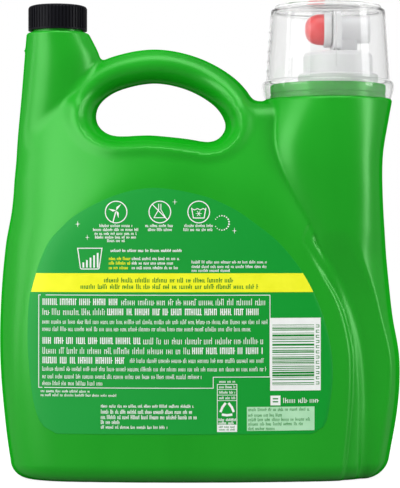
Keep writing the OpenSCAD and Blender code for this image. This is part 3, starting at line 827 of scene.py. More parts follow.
def hoop(colour, x, z, r, width, steps=28):
    """A ring of ink."""
    angles = [math.radians(360 * k / steps) for k in range(steps + 1)]
    for a, b in zip(angles, angles[1:]):
        patch(colour, [(x + q * math.cos(w), z + q * math.sin(w))
                       for q, w in ((r - width / 2, a), (r - width / 2, b), (r + width / 2, b),
                                    (r + width / 2, a))])


def spot(colour, x, z, r):
    hoop(colour, x, z, r / 2, r, steps=10)


def off(x, z, turn, ahead, aside=0.0):
    """A point ahead of and beside (x, z), for someone who faces turn degrees."""
    dx, dz = math.cos(math.radians(turn)), math.sin(math.radians(turn))
    return (x + ahead * dx - aside * dz, z + ahead * dz + aside * dx)


print("10 mm off along 90 degrees:", [round(v, 3) for v in off(0, 0, 90, 10)])

# %% [markdown]
# ## Rows of small type
# Most of a label is small type, which nobody reads from here. A font would spell something, and
# would need thousands of curved faces. Groups of short upright strokes, some taller and some
# with a foot or an arm, look like small type from where the camera stands and spell nothing.

# %% A row of strokes
TALL_SHARE, ARM_SHARE, LOW_LETTER = 0.22, 0.5, 0.7
type_dice = np.random.default_rng(7)


def type_row(colour, x0, x1, z, height, pen, gap, layer=0, capitals=False):
    """A row of word-like groups of short upright strokes, from x0 to x1."""
    x, foot = x0, z - height / 2
    while x < x1 - pen:
        for _ in range(int(type_dice.integers(3, 10))):
            if x > x1 - pen:
                break
            tall = 1.0 if capitals or type_dice.random() < TALL_SHARE else LOW_LETTER
            block(colour, x, foot, x + pen, foot + tall * height, layer)
            if type_dice.random() < ARM_SHARE:
                arm = type_dice.choice([0.0, 0.42 * tall, tall - 0.16], p=[0.35, 0.4, 0.25])
                low = foot + arm * height
                block(colour, x + pen, low, min(x + pen + gap, x1), low + pen * 0.8, layer)
            x += pen + gap
        x += gap + pen * 1.7


def type_rows(colour, rows, *size, **more):
    """Several rows of one size, each given by its middle height and its two ends."""
    for z, x0, x1 in rows:
        type_row(colour, x0, x1, z, *size, **more)
    print(len(rows), "rows of", colour, "type,", len(ink[colour]), "patches so far")


# %% [markdown]
# ## The yellow band
# A band of yellow runs right across the label, with two lines of type in dark green. A long
# rectangle would stick out at its ends, where the label's edge is curved. So it is a sheet like
# the label's own, a little higher, with both ends on the same curve.

# %% Yellow band across the label
BAND_LOW, BAND_HIGH = 122.3, 134.3
new_piece("label_band", *sheet_between(BAND_LOW, BAND_HIGH, 6, 72, INK_LIFT, edge=0.25),
          "bottle", "label_film")
type_rows("dark_green", [(130.0, -61, 22), (125.9, -76, 37)], 3.1, 0.56, 0.5, layer=1)

# %% [markdown]
# ## The framed notice
# A thin white frame with a notch holds the longest text. Its upper lines are larger, and parts
# of them are bold capitals. The heavier pen alone makes them look bold, as in real type.

# %% The frame and its larger lines
FRAME_LINE = 0.45
stroke("white", [(-103, 120.4), (44.5, 120.4), (44.5, 68.4), (8.4, 68.4), (8.4, 61.4),
                 (-103, 61.4), (-103, 120.4)], FRAME_LINE)
BOLD = {"height": 4.2, "pen": 0.62, "gap": 0.58, "capitals": True}
PLAIN = {"height": 4.2, "pen": 0.4, "gap": 0.76}
notice = [(116.1, -100.5, -51.7, BOLD), (116.1, -50, 41.6, PLAIN), (109.8, -100.5, -60.5, PLAIN),
          (109.8, -59, 37.2, BOLD), (91.4, -100.5, -37.6, BOLD), (91.4, -36, 41, PLAIN),
          (85.1, -100.5, -6.3, PLAIN), (85.1, -5, 40.7, BOLD), (78.9, -100.5, -46.1, BOLD)]
for z, x0, x1, weight in notice:
    type_row("white", x0, x1, z, **weight)
print("notice:", len(notice), "spans of larger type")

# %% Its smaller lines
type_rows("white", [(103.5, -100.6, 42.8), (98.9, -100.6, 33.4), (78.9, -44.5, 40.8),
                    (73.5, -100.6, 42.5), (68.7, -100.6, 1.2), (64.3, -100.6, -61.9)], 2.9, 0.3, 0.5)

# %% [markdown]
# ## The striped code
# A white field carries dark bars of uneven width, for a till to read. Their widths are drawn by
# lot, so the bars stand for no number, and so do the stroke figures beside them.

# %% Bars on their white field
CODE = (44.6, 59.6, 77.0, 105.9)
BARS_LEFT, BARS_RIGHT, BARS_LOW, BARS_HIGH, LAST_BAR = 46, 72.8, 63.2, 101.6, 101.3
WIDTH_ODDS = [0.35, 0.3, 0.2, 0.15]
block("white", *CODE)
z = BARS_LOW
while z < LAST_BAR:
    bar = float(type_dice.choice([0.35, 0.6, 0.9, 1.3], p=WIDTH_ODDS))
    block("dark_green", BARS_LEFT, z, BARS_RIGHT, min(z + bar, BARS_HIGH), 1)
    z += bar + float(type_dice.choice([0.4, 0.65, 1.0, 1.5], p=WIDTH_ODDS))
print("bars from", BARS_LOW, "to", BARS_HIGH, "mm")

# %% Figures beside the bars, each made of three strokes
FIGURES, FIGURE_X, FIGURE_WIDE, FIGURE_HIGH, FIGURE_PEN = 12, 73.9, 2.2, 1.4, 0.45
for k in range(FIGURES):
    z, side = 63.4 + 3.3 * k, FIGURE_X + 1.75 * int(type_dice.integers(0, 2))
    for foot in (z, z + FIGURE_HIGH):
        block("dark_green", FIGURE_X, foot, FIGURE_X + FIGURE_WIDE, foot + FIGURE_PEN, 1)
    block("dark_green", side, z, side + FIGURE_PEN, z + FIGURE_HIGH + FIGURE_PEN, 1)
print(FIGURES, "figures beside them")

# %% The small sign, the line of type and the pale panel under the code
block("white", 44.8, 50.3, 51.2, 56.5)
for low in (54.1, 52.2):
    block("dark_green", 46.3, low, 49.7, low + 0.8, 1)
type_rows("white", [(53.4, 53, 76.5)], 3.3, 0.42, 0.75)
block("pale_green", 29.8, 34.2, 73, 49.4)
type_rows("dark_green", [(47.8, 30.7, 70), (44.2, 30.7, 52), (41.4, 30.7, 70.5), (38.6, 30.7, 66),
                         (35.7, 30.7, 47.5)], 2.2, 0.3, 0.42, layer=1)

# %% [markdown]
# ## Three round signs
# Three ringed signs stand in a row above the band: a wind wheel, a flask struck through and a
# wash tub. Each is a few lines of ink. Drawn as shapes they stay simple, and they say nothing
# that depends on a language.

# %% The three rings
SIGN_Z, SIGN_R = 173.2, 6.9
WHEEL_X, FLASK_X, TUB_X = -53.3, -25.5, -0.8
for x in (WHEEL_X, FLASK_X, TUB_X):
    hoop("white", x, SIGN_Z, SIGN_R, 0.62)
print("rings of", 2 * SIGN_R, "mm at", SIGN_Z, "mm")

# %% The wind wheel, and the flask struck through
for turn in (52, 168, 288):
    patch("white", [off(WHEEL_X, SIGN_Z + 1, turn, ahead, aside)
                    for ahead, aside in ((0, 0), (2.2, -0.25), (5.1, 0), (1.9, 1.15))])
stroke("white", [(-53.6, SIGN_Z), (-55.2, SIGN_Z - 6.0)], 0.7)
stroke("white", [(-30.3, SIGN_Z + 4.9), (-20.7, SIGN_Z - 4.9)], 0.6)
stroke("white", [(-26.2, SIGN_Z + 5), (-26.2, SIGN_Z + 1.5), (-29.2, SIGN_Z - 3.6),
                 (-21.8, SIGN_Z - 3.6), (-24.8, SIGN_Z + 1.5), (-24.8, SIGN_Z + 5)], 0.5)
print("wheel at", WHEEL_X, "mm, flask at", FLASK_X, "mm")

# %% The wash tub with its waves
stroke("white", [(-5.3, SIGN_Z + 2.4), (-4.2, SIGN_Z - 3.8), (2.6, SIGN_Z - 3.8),
                 (3.7, SIGN_Z + 2.4)], 0.6)
stroke("white", [(-5.3, SIGN_Z + 2.2), (-3.4, SIGN_Z + 1.3), (-1.6, SIGN_Z + 2.2),
                 (0.2, SIGN_Z + 1.3), (2, SIGN_Z + 2.2), (3.7, SIGN_Z + 1.4)], 0.5)
for turn in (0, 60, 120):
    stroke("white", [off(TUB_X, SIGN_Z - 1, turn, -1.7), off(TUB_X, SIGN_Z - 1, turn, 1.7)], 0.34)
print("tub at", TUB_X, "mm")

# %% Type under the signs
type_rows("white", [(164.6, -63.9, -43), (164.6, -34.7, -16), (164.6, -9.9, 8.2), (162.1, -68, -39),
                    (162.1, -33, -17.5), (162.1, -10.5, 8), (159.6, -67, -40), (157.3, -66.7, -40),
                    (155.1, -59, -47.7)], 1.9, 0.34, 0.34)

# %% [markdown]
# ## Sparkles and a ring of dots
# A few four-pointed sparkles and a ring of dots that swell and shrink fill the arch. A sparkle
# is four thin triangles, and a triangle here is a patch with two of its corners in one place.

# %% Sparkles
SPARKLE_WAIST = 0.12
for x, z, size in ((-77.9, 165.6, 1.9), (-71.7, 157.1, 1.5), (-16, 179.6, 1.7), (21.9, 161.3, 1.8)):
    for dx, dz in ((size, 0), (0, size * 1.2)):
        for sign in (-1, 1):
            tip = (x + sign * dx, z + sign * dz)
            patch("white", [(x - dz * SPARKLE_WAIST, z - dx * SPARKLE_WAIST),
                            (x + dz * SPARKLE_WAIST, z + dx * SPARKLE_WAIST), tip, tip])
print("white patches:", len(ink["white"]))

# %% A ring of dots
DOTS, DOTS_X, DOTS_Z, DOTS_R = 16, 13.9, 166.3, 4.6
for k in range(DOTS):
    x, z = off(DOTS_X, DOTS_Z, 150 - 300 * k / (DOTS - 1), DOTS_R)
    spot("white", x, z, 0.32 + 0.25 * min(k, DOTS - 1 - k) / 7)
print(DOTS, "dots")

# %% [markdown]
# ## The dosing guide
# A small drawing of a cup with five fill lines, and three rows beside it, say how much to use.
# The bars inside the cup climb from left to right, which reads as more and more.

# %% The cup in the dosing guide
CUP_LEFT, CUP_RIGHT, CUP_LOW, CUP_HIGH = -77.9, -62.3, 137.0, 150.2
stroke("white", [(CUP_LEFT, CUP_HIGH), (CUP_LEFT + 1.8, CUP_LOW + 0.6), (CUP_LEFT + 2.4, CUP_LOW),
                 (CUP_RIGHT - 2.4, CUP_LOW), (CUP_RIGHT - 1.8, CUP_LOW + 0.6), (CUP_RIGHT, CUP_HIGH),
                 (CUP_LEFT, CUP_HIGH)], 0.6)
for k in range(5):
    x = CUP_LEFT + 3.1 + 2.3 * k
    block("white", x, CUP_LOW + 0.9, x + 1.1, CUP_LOW + 4.2 + 1.5 * k)
print(f"drawn cup {CUP_RIGHT - CUP_LEFT:.1f} mm wide")

# %% The rows beside it
type_rows("white", [(148.8, -56.8, -10.2)], 1.9, 0.42, 0.3)
for z, x1 in ((143.7, -12.8), (140.8, -16.8), (137.9, -14)):
    type_row("yellow", -57.9, -44.2, z, 2.0, 0.36, 0.34)
    type_row("white", -43.3, x1, z, 2.0, 0.36, 0.34)
type_rows("white", [(141.5, -5.3, 42.5), (138.6, -5.3, 43.1), (136.1, -5.3, 19)], 1.9, 0.34, 0.34)

# %% [markdown]
# ## The foot of the label
# Small print fills the foot, and a framed panel tells how to recycle the empty bottle. Its sign
# is three bent arrows, and at this size a bent stroke is enough for each.

# %% Small print
type_rows("white", [(59.2, -101.7, -70.2), (56.7, -101.7, -52.5)], 1.7, 0.3, 0.36)
for z, x1, size in ((50, -3.9, 2.0), (46.4, -5.1, 2.6), (43, -2, 2.6), (39.8, -50.2, 2.6),
                    (36.6, -20.4, 2.0)):
    type_row("white", -63, x1, z, size, 0.36, 0.36)

# %% The recycling panel
BOX_LEFT, BOX_RIGHT, BOX_LOW, BOX_HIGH = 11, 23.4, 33.8, 63.8
LOOP_X, LOOP_Z = 17.2, 47.6
stroke("white", [(BOX_LEFT, BOX_HIGH), (BOX_RIGHT, BOX_HIGH), (BOX_RIGHT, BOX_LOW),
                 (BOX_LEFT, BOX_LOW), (BOX_LEFT, BOX_HIGH)], 0.4)
for z in (60.6, 57, 53.5):
    stroke("white", [(BOX_LEFT + 0.2, z), (BOX_RIGHT - 0.2, z)], 0.3)
type_rows("white", [(z, 12.2, 22.4) for z in (65.6, 62.2, 58.8, 55.2)], 1.7, 0.3, 0.32)
for turn in (30, 150, 270):
    stroke("white", [off(LOOP_X, LOOP_Z, turn + more, r) for more, r in ((-42, 4.1), (0, 3.4), (42, 4.1))],
           1.5)
type_rows("white", [(z, 11.8, 22.8) for z in (41.4, 39.3)], 1.8, 0.42, 0.3)
block("white", BOX_LEFT + 0.2, 34, BOX_RIGHT - 0.2, 38.2)
type_rows("dark_green", [(z, 12, 22.4) for z in (36.9, 35.1)], 1.2, 0.26, 0.26, layer=1)

# %% [markdown]
# ## From ink to meshes
# Every colour has now its list of patches. One object for each patch would be thousands, and
# slow, so each colour becomes one mesh. A patch printed over another lies a hair higher, so the
# two never fight for the same place.

# %% One mesh for each ink
OVERPRINT = 0.03
for colour, patches in ink.items():
    flat, faces = joined(*patches)
    flat = np.array(flat)
    points = on_label(flat[:, 0], flat[:, 1], INK_LIFT + OVERPRINT * flat[:, 2])
    new_piece("ink_" + colour, points, faces, "bottle", "label_film")

# %% [markdown]
# ## The measuring cup
# The cup is a thin clear shell turned from one profile, mouth down: a foot ring at the closed
# end, a straight wall with a little draft, and a rolled rim that swells out over the collar.
# A single surface would refract light as a solid block. So the inside follows the outside at
# one wall thickness, as in a moulded cup.

# %% Sizes of the cup, and its rim
CUP_TOP_R, CUP_WALL_R, RIM_BULGE, RIM_H = 37.7, 40.8, 2.7, 12.6
CUP_H, FOOT_H, FOOT_R, CUP_WALL = 59.3, 2.4, 35.3, 1.3
RIM_CURVE = [[0, 0.25], [0.12, 0.42], [0.3, 0.68], [0.46, 0.86], [0.6, 0.96], [0.7, 1], [0.78, 0.99],
             [0.86, 0.9], [0.93, 0.6], [0.97, 0.25], [1, 0]]


def cup_r(z):
    """Outside radius of the wall at height z over the mouth."""
    return CUP_WALL_R + (CUP_TOP_R - CUP_WALL_R) * (z - RIM_H) / (CUP_H - 1.2 - RIM_H)


print(f"cup {CUP_H + FOOT_H:.1f} mm high, wall {cup_r(RIM_H):.1f} to {cup_r(CUP_H):.1f} mm in radius")

# %% Outside of the cup, from the mouth to the foot ring
cup_outside = [[CUP_WALL_R + b * RIM_BULGE, u * RIM_H] for u, b in RIM_CURVE]
cup_outside += [[cup_r(z), z] for z in np.linspace(RIM_H + 0.8, CUP_H - 2.6, 16)]
cup_outside += [[CUP_TOP_R, CUP_H - 1.4], [CUP_TOP_R - 0.15, CUP_H - 0.75],
                [CUP_TOP_R - 0.55, CUP_H - 0.25], [CUP_TOP_R - 1.2, CUP_H], [FOOT_R + 0.5, CUP_H],
                [FOOT_R + 0.1, CUP_H + 0.3], [FOOT_R - 0.15, CUP_H + FOOT_H - 0.5],
                [FOOT_R - 0.45, CUP_H + FOOT_H - 0.05], [FOOT_R - 0.8, CUP_H + FOOT_H],
                [FOOT_R - CUP_WALL, CUP_H + FOOT_H - 0.1],
                [FOOT_R - CUP_WALL - 0.6, CUP_H + FOOT_H - 0.8]]
print("outside:", len(cup_outside), "points")

# %% Inside of the cup, from the closed end back to the mouth
plate = CUP_H + FOOT_H - 0.8 - CUP_WALL
cup_inside = [[0, plate + CUP_WALL], [0, plate], [FOOT_R - 1.4 * CUP_WALL - 0.5, plate],
              [FOOT_R - 1.3 * CUP_WALL, plate - 0.4], [FOOT_R - 1.1 * CUP_WALL, CUP_H - 1.1 * CUP_WALL],
              [CUP_TOP_R - 1.9 * CUP_WALL, CUP_H - 1.15 * CUP_WALL],
              [CUP_TOP_R - CUP_WALL - 0.2, CUP_H - 2.0], [CUP_TOP_R - CUP_WALL, CUP_H - 2.8]]
cup_inside += [[cup_r(z) - CUP_WALL, z] for z in np.linspace(CUP_H - 4, RIM_H + 0.8, 16)]
cup_inside += [[CUP_WALL_R - CUP_WALL + b * RIM_BULGE, u * RIM_H] for u, b in RIM_CURVE[::-1]]
cup_profile = [[r, TAP_SHOULDER_Z + z] for r, z in cup_inside + cup_outside]
print("cup profile:", len(cup_profile), "points")

# %% [markdown]
# ## Raised marks on the cup
# Five fill lines and one upright rib stand a third of a millimetre off the wall. They could be a
# bump, but in a clear part a mark is seen by how it bends light, and for that it has to be real.
# Each is a low ridge with four points across, sunk a little into the wall.

# %% Fill lines and a rib
MARK_SUNK = -0.3
RIB_END, LINE_END = 0.25, 0.2  # shares of its height that a mark has at its ends


def on_cup(angle, z, out, up=0.0):
    """A point that stands off the cup's wall, at an angle in degrees about its axis."""
    a, r = math.radians(angle), cup_r(z) + out
    return [COLLAR_X + r * math.cos(a), r * math.sin(a), TAP_SHOULDER_Z + z + up]


def rib_on_cup(angle, low, high, wide, high_out, rows=10):
    """An upright bar that stands off the wall at an angle about the cup's axis."""
    points = []
    half = math.degrees(wide / 2 / CUP_WALL_R)
    for i in range(rows + 1):
        z = low + (high - low) * i / rows
        top = high_out * (RIB_END if i in (0, rows) else 1)
        for turn, out in ((-half, MARK_SUNK), (-half * 0.55, top), (half * 0.55, top), (half, MARK_SUNK)):
            points.append(on_cup(angle + turn, z, out))
    return points, sheet_faces(rows + 1, 4)


def level_on_cup(middle, span, z, tall, high_out, steps=20):
    """A fill line: a short raised bar that follows the wall at one level."""
    points = []
    for k in range(steps + 1):
        angle = middle - span / 2 + span * k / steps
        top = high_out * (LINE_END if k in (0, steps) else 1)
        for up, out in ((-tall / 2, MARK_SUNK), (-tall * 0.3, top), (tall * 0.3, top), (tall / 2, MARK_SUNK)):
            points.append(on_cup(angle, z, out, up))
    return points, sheet_faces(steps + 1, 4, turn_over=True)


marks = [level_on_cup(180, 14 + 4 * i, RIM_H + 6.45 + 6.5 * i, 1.1, 0.35) for i in range(5)]
marks.append(rib_on_cup(274, RIM_H + 6, CUP_H - 5, 0.9, 0.28))
new_piece("cup", *joined(turned(cup_profile, COLLAR_X, steps=192), *marks), "measuring_cup",
          "cup_clear", replaces=["measuring_cup"])

# %% [markdown]
# ## Finishes
# Blown polyethylene is softly glossy and never quite even: the skin has a fine orange-peel, and
# long faint streaks where the plastic was drawn. Images of plastic would need a layout of every
# surface. So every finish is made from noise over the piece's own coordinates.


# %% Helpers for materials
def new_material(name):
    """A new material with its nodes, its links and its main shader."""
    material = bpy.data.materials.new(name)
    material.use_nodes = True
    tree = material.node_tree
    return material, tree.nodes, tree.links, tree.nodes["Principled BSDF"]


def spread(nodes, low, high, start=0.0, stop=1.0, soft=False):
    """A node that turns values from start to stop into values from low to high."""
    node = nodes.new("ShaderNodeMapRange")
    node.interpolation_type = "SMOOTHSTEP" if soft else "LINEAR"
    for socket, value in (("From Min", start), ("From Max", stop), ("To Min", low), ("To Max", high)):
        node.inputs[socket].default_value = value
    return node


def noise(nodes, scale, detail):
    """A noise texture."""
    node = nodes.new("ShaderNodeTexNoise")
    node.inputs["Scale"].default_value, node.inputs["Detail"].default_value = scale, detail
    return node


def finish(material, *names):
    for name in names:
        piece = bpy.data.objects[name]
        piece.data.materials.clear()
        piece.data.materials.append(material)
    print(material.name, "on", ", ".join(names))


# %% A moulded plastic
def plastic(name, dark, light, roughness, specular=0.5, grain=900.0, bump=0.02, streak=(6, 6, 1.2)):
    """A plastic whose colour wanders between two tones, with a fine uneven skin."""
    material, nodes, links, shader = new_material(name)
    shader.inputs["Specular IOR Level"].default_value = specular
    place = nodes.new("ShaderNodeTexCoord")
    stretch = nodes.new("ShaderNodeMapping")
    stretch.inputs["Scale"].default_value = streak
    cloud, peel = noise(nodes, 4.0, 3.0), noise(nodes, grain, 2.0)
    ramp = nodes.new("ShaderNodeValToRGB")
    for tone, position, colour in zip(ramp.color_ramp.elements, (0.3, 0.7), (dark, light)):
        tone.position, tone.color = position, (*colour, 1)
    rough = spread(nodes, *roughness)
    skin = nodes.new("ShaderNodeBump")
    skin.inputs["Strength"].default_value, skin.inputs["Distance"].default_value = bump, 0.001
    links.new(place.outputs["Object"], stretch.inputs["Vector"])
    links.new(stretch.outputs["Vector"], cloud.inputs["Vector"])
    links.new(cloud.outputs["Fac"], ramp.inputs["Fac"])
    links.new(ramp.outputs["Color"], shader.inputs["Base Color"])
    links.new(place.outputs["Object"], peel.inputs["Vector"])
    links.new(cloud.outputs["Fac"], rough.inputs["Value"])
    links.new(rough.outputs["Result"], shader.inputs["Roughness"])
    links.new(peel.outputs["Fac"], skin.inputs["Height"])
    links.new(skin.outputs["Normal"], shader.inputs["Normal"])
    print(name, "made of", len(nodes), "nodes")
    return material


# %% [markdown]
# ## Green bottle plastic
# The bottle is dyed right through, so its reflections stay greener and darker than those of a
# painted part, and its outline has no pale rim. A plain shader brightens wherever the surface
# turns away. So the reflections are tinted, and the gloss fades out towards the outline.

# %% Green polyethylene on the bottle
GREEN_GLOSS, RIM_FROM, RIM_TO = 0.7, 0.35, 0.72
green = plastic("green_polyethylene", (0.005, 0.31, 0.008), (0.009, 0.35, 0.012), (0.29, 0.35),
                specular=GREEN_GLOSS, grain=700.0, bump=0.03)
nodes, links = green.node_tree.nodes, green.node_tree.links
shader = nodes["Principled BSDF"]
shader.inputs["Specular Tint"].default_value = (0.42, 1, 0.42, 1)
facing = nodes.new("ShaderNodeLayerWeight")
fade = spread(nodes, GREEN_GLOSS, 0.0, RIM_FROM, RIM_TO, soft=True)
links.new(facing.outputs["Facing"], fade.inputs["Value"])
links.new(fade.outputs["Result"], shader.inputs["Specular IOR Level"])
finish(green, "bottle_skin", "collar", "tap_neck", "vent_neck")

# %% [markdown]
# ## White, red and black mouldings
# The tap, its button and the vent cap are moulded in smooth steel moulds, so their grain is
# finer than the bottle's. Each could be one flat colour, but two close tones keep them from
# looking painted. The black cap is the dullest: it mirrors almost nothing.

# %% Polypropylene in three colours
white = plastic("white_polypropylene", (0.74, 0.74, 0.75), (0.80, 0.80, 0.81), (0.30, 0.42),
                grain=1400.0)
red = plastic("red_polypropylene", (0.80, 0.022, 0.028), (0.88, 0.032, 0.038), (0.28, 0.38),
              grain=1400.0)
black = plastic("black_polypropylene", (0.004, 0.004, 0.006), (0.008, 0.008, 0.011), (0.34, 0.46),
                specular=0.07, grain=1500.0)
finish(white, "tap_closure", "tap_body", "button_ring", "valve_stem")
finish(red, "tap_button")
finish(black, "vent_cap")

# %% [markdown]
# ## Foam and rubber
# The liner in the cap is foam, and the seals are a soft rubber. Both are matt. A matt part could
# do without any gloss, but then it looks like paper, so a little is left, with a strong grain.

# %% Foam liner and soft seals
foam = plastic("liner_foam", (0.70, 0.70, 0.68), (0.80, 0.80, 0.78), (0.75, 0.9), specular=0.2,
               grain=2600.0, bump=0.25)
rubber = plastic("seal_rubber", (0.55, 0.56, 0.57), (0.62, 0.63, 0.64), (0.55, 0.7), specular=0.3,
                 grain=2000.0, bump=0.1)
finish(foam, "vent_cap_liner")
finish(rubber, "closure_gasket", "valve_seal")

# %% [markdown]
# ## Clear cup
# Clarified polypropylene is clear, but not as a window is: noise makes it a little rougher in
# some places than in others, and lets a little less light through. It could bend light as much
# as the real plastic does, but then its thick edges look black, so it bends light less here.


# %% Clear polypropylene
def clear_plastic(name, colour, refraction, transmission, haze):
    material, nodes, links, shader = new_material(name)
    shader.inputs["Base Color"].default_value = (*colour, 1)
    shader.inputs["IOR"].default_value = refraction
    place = nodes.new("ShaderNodeTexCoord")
    cloud = noise(nodes, 60.0, 3.0)
    rough, clear = spread(nodes, *haze), spread(nodes, *transmission)
    links.new(place.outputs["Object"], cloud.inputs["Vector"])
    links.new(cloud.outputs["Fac"], rough.inputs["Value"])
    links.new(cloud.outputs["Fac"], clear.inputs["Value"])
    links.new(rough.outputs["Result"], shader.inputs["Roughness"])
    links.new(clear.outputs["Result"], shader.inputs["Transmission Weight"])
    return material


finish(clear_plastic("clear_polypropylene", (0.98, 0.98, 0.98), 1.28, (0.94, 0.97), (0.01, 0.03)), "cup")

# %% [markdown]
# ## The label's film
# The label's green is painted darker from left to right. This is painted shade, standing in for the light
# that falls off across the curved panel, and the film shines less than the bottle. The gradient could be
# painted on the points of the sheet. It is simpler to let the place from left to right pick the tone, with a
# fine mottle added.

# %% Green film with a gradient of painted shade
# where the painted shade starts and ends, from the lighter left to the darker right
SHADE_RAMP_LEFT, SHADE_RAMP_RIGHT, MOTTLE = -0.11, 0.085, 0.06


def film(name, lit_left_colour, shaded_right_colour, roughness):
    material = plastic(name, lit_left_colour, shaded_right_colour, roughness, specular=0.16, grain=1800.0, bump=0.01)
    nodes, links = material.node_tree.nodes, material.node_tree.links
    place = next(n for n in nodes if n.type == "TEX_COORD")
    ramp = next(n for n in nodes if n.type == "VALTORGB")
    cloud = ramp.inputs["Fac"].links[0].from_node
    # painted shade: the tone goes from the lighter left colour to the darker right colour across the label
    apart = nodes.new("ShaderNodeSeparateXYZ")
    across = spread(nodes, 0.0, 1.0, SHADE_RAMP_LEFT, SHADE_RAMP_RIGHT)
    mottle = nodes.new("ShaderNodeMath")
    mottle.operation = "MULTIPLY_ADD"
    mottle.inputs[1].default_value = MOTTLE
    links.new(place.outputs["Object"], apart.inputs["Vector"])
    links.new(apart.outputs["X"], across.inputs["Value"])
    links.new(cloud.outputs["Fac"], mottle.inputs[0])
    links.new(across.outputs["Result"], mottle.inputs[2])
    links.new(mottle.outputs["Value"], ramp.inputs["Fac"])
    ramp.color_ramp.elements[0].position, ramp.color_ramp.elements[1].position = 0.0, 1.0
    return material


# the lighter left tone and the darker right tone are painted light and shade on the label's green
finish(film("label_green_with_painted_shade", (0.016, 0.345, 0.052), (0.002, 0.315, 0.026), (0.42, 0.5)), "label_sheet")

# %% [markdown]
# ## Inks
# Inks are flat and lie in the same film, so they share its gloss. A plain colour would do from
# far away, and two close tones keep the larger fields from looking cut out.

# %% One finish for each ink
INK_TONES = {"white": [(0.86, 0.88, 0.86), (0.91, 0.93, 0.91)],
             "yellow": [(0.88, 0.9, 0.018), (0.95, 0.96, 0.03)],
             "dark_green": [(0.006, 0.22, 0.02), (0.01, 0.26, 0.03)],
             "pale_green": [(0.42, 0.74, 0.46), (0.47, 0.79, 0.51)]}
for name, (dark, light) in INK_TONES.items():
    one = plastic("ink_film_" + name, dark, light, (0.42, 0.52), specular=0.16, grain=2200.0, bump=0.01,
                  streak=(30, 30, 30))
    finish(one, "ink_" + name, *(["label_band"] if name == "yellow" else []))

# %% [markdown]
# ## Edges of the small mouldings
# Moulded parts have no knife edges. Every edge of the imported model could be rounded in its
# drawing, but a bevel modifier does it here without a change to the part. It catches a line of
# light at every edge, which is most of what makes plastic look moulded.

# %% Small bevels on the carried-over parts
EDGE_BEVEL, BEVEL_OVER = 0.0002, math.radians(40)
for name in ("vent_cap", "tap_closure", "tap_body", "button_ring", "tap_button"):
    piece = bpy.data.objects[name]
    piece.data.shade_smooth()
    bevel = piece.modifiers.new("small_bevel", "BEVEL")
    bevel.width, bevel.segments, bevel.limit_method = EDGE_BEVEL, 2, "ANGLE"
    bevel.angle_limit = BEVEL_OVER
    bevel.harden_normals = True
    print(f"{name}: {len(piece.data.polygons)} faces, bevel {EDGE_BEVEL / MM} mm")

# %% [markdown]
# ## A floor with no horizon
# The bottle stands on a sweep of white paper, which a camera sees as pure white with a soft
# shadow. A white floor would also throw light up under the bottle. So this floor is a mid grey
# that glows white only to the camera, and through the clear cup, and far less in reflections.

# %% The floor's sheet
FLOOR_HALF, FLOOR_FRONT, FLOOR_BACK = 6.0, -2.5, 9.0
floor_mesh = bpy.data.meshes.new("floor")
floor_mesh.from_pydata([(-FLOOR_HALF, FLOOR_FRONT, 0), (FLOOR_HALF, FLOOR_FRONT, 0),
                        (FLOOR_HALF, FLOOR_BACK, 0), (-FLOOR_HALF, FLOOR_BACK, 0)], [], [(0, 1, 2, 3)])
floor = bpy.data.objects.new("floor", floor_mesh)
bpy.context.scene.collection.objects.link(floor)
print("floor", 2 * FLOOR_HALF, "by", FLOOR_BACK - FLOOR_FRONT, "m")


# %% The floor's glow
def seen_directly(nodes, links, path):
    """A node that is 1 for rays from the camera, also through a clear part, and 0 for others."""
    seen = nodes.new("ShaderNodeMath")
    seen.operation = "ADD"
    seen.use_clamp = True
    links.new(path.outputs["Is Camera Ray"], seen.inputs[0])
    links.new(path.outputs["Is Transmission Ray"], seen.inputs[1])
    return seen


FLOOR_GREY, FLOOR_GLOW, FLOOR_MIRRORED = 0.26, 0.9, 0.18
material, nodes, links, shader = new_material("pale_floor")
shader.inputs["Roughness"].default_value = 0.9
shader.inputs["Specular IOR Level"].default_value = 0.1
shader.inputs["Base Color"].default_value = (FLOOR_GREY, FLOOR_GREY, FLOOR_GREY, 1)
shader.inputs["Emission Color"].default_value = (1, 1, 1, 1)
path = nodes.new("ShaderNodeLightPath")
shine, glow = spread(nodes, 0.0, FLOOR_MIRRORED), spread(nodes, 0.0, FLOOR_GLOW)
links.new(path.outputs["Is Glossy Ray"], shine.inputs["Value"])
links.new(shine.outputs["Result"], glow.inputs["To Min"])
links.new(seen_directly(nodes, links, path).outputs["Value"], glow.inputs["Value"])
links.new(glow.outputs["Result"], shader.inputs["Emission Strength"])
floor_mesh.materials.append(material)
print(material.name, "glows", FLOOR_GLOW)

# %% [markdown]
# ## A pale room
# The room is white to look at. If it lit the bottle as white as it looks, every form would be
# flat. So it gives less light than it shows. Glossy parts mirror a room that is dim in front and
# white far behind, which keeps the green deep.


# %% The room
def pale_room(shown, light, dim):
    world = bpy.data.worlds.new("studio_room")
    bpy.context.scene.world = world
    world.use_nodes = True
    nodes, links = world.node_tree.nodes, world.node_tree.links
    background = nodes["Background"]
    background.inputs["Color"].default_value = (1, 1, 1, 1)
    path = nodes.new("ShaderNodeLightPath")
    white = spread(nodes, light, shown)
    place = nodes.new("ShaderNodeTexCoord")
    apart = nodes.new("ShaderNodeSeparateXYZ")
    backdrop = spread(nodes, dim, shown, 0.8, 1.0, soft=True)
    strength = spread(nodes, 0.0, 1.0)
    links.new(seen_directly(nodes, links, path).outputs["Value"], white.inputs["Value"])
    links.new(place.outputs["Generated"], apart.inputs["Vector"])
    links.new(apart.outputs["Y"], backdrop.inputs["Value"])
    links.new(path.outputs["Is Glossy Ray"], strength.inputs["Value"])
    links.new(white.outputs["Result"], strength.inputs["To Min"])
    links.new(backdrop.outputs["Result"], strength.inputs["To Max"])
    links.new(strength.outputs["Result"], background.inputs["Strength"])
    print(world.name, "shown", shown, "light", light, "dim", dim)


pale_room(shown=1.0, light=0.40, dim=0.34)

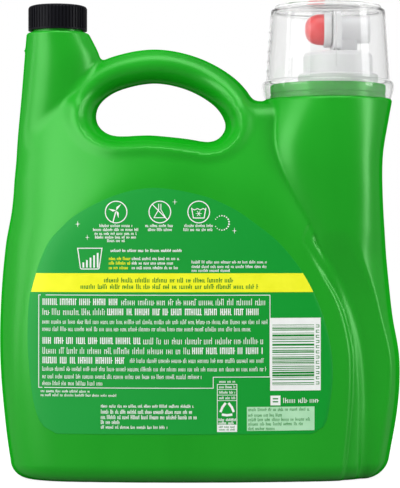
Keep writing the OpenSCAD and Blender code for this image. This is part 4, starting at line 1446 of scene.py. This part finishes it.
# %% [markdown]
# ## Soft boxes
# A glossy bottle is drawn by what it mirrors. A big box on the left draws the broad light down
# its side, a narrow strip beside it draws the line along the rounded edge, a narrower box on the
# right lifts the tap's tower, and one above lights the handle. Point lights would be simpler, but
# a bottle lit by them shows small hot spots.

# %% Four soft boxes
BOX_AIM, TOP_BOX_AIM = (0, 0, 0.15), (0, 0, 0.1)


def soft_box(name, place, aim, wide, high, watts):
    lamp = bpy.data.lights.new(name, "AREA")
    lamp.shape, lamp.size, lamp.size_y, lamp.energy = "RECTANGLE", wide, high, watts
    holder = bpy.data.objects.new(name, lamp)
    holder.location = place
    holder.rotation_euler = (Vector(aim) - Vector(place)).to_track_quat("-Z", "Y").to_euler()
    bpy.context.scene.collection.objects.link(holder)
    print(name, "at", place, f"{watts} W")


soft_box("left_soft_box", (-1.55, -1.1, 0.75), BOX_AIM, 1.3, 1.7, 31)
soft_box("left_strip", (-1.6, -0.05, 0.45), BOX_AIM, 0.22, 1.4, 4.0)
soft_box("right_soft_box", (1.5, -0.45, 0.5), BOX_AIM, 0.45, 1.5, 15)
soft_box("top_soft_box", (0.1, -0.45, 1.5), TOP_BOX_AIM, 1.2, 0.8, 12)

# %% [markdown]
# ## Camera
# The camera stands at the height of the middle of the bottle and looks level, so upright edges
# stay upright. A short lens close by would make the near shoulder swell, so the lens is long
# and stands well back, as for a picture in a shop.

# %% Camera and colours
CAMERA_BACK, CAMERA_HIGH, LENS, SENSOR = 1.289, 0.1529, 143.9, 36
lens = bpy.data.cameras.new("camera")
lens.sensor_fit, lens.sensor_width, lens.sensor_height = "VERTICAL", SENSOR, SENSOR
lens.lens = LENS
camera = bpy.data.objects.new("camera", lens)
camera.location = (0, -CAMERA_BACK, CAMERA_HIGH)
camera.rotation_euler = (math.radians(90), 0, 0)
bpy.context.scene.collection.objects.link(camera)
bpy.context.scene.camera = camera
bpy.context.scene.view_settings.view_transform = "Standard"
print(f"camera sees {CAMERA_BACK * SENSOR / LENS * 1000:.0f} mm from top to bottom")
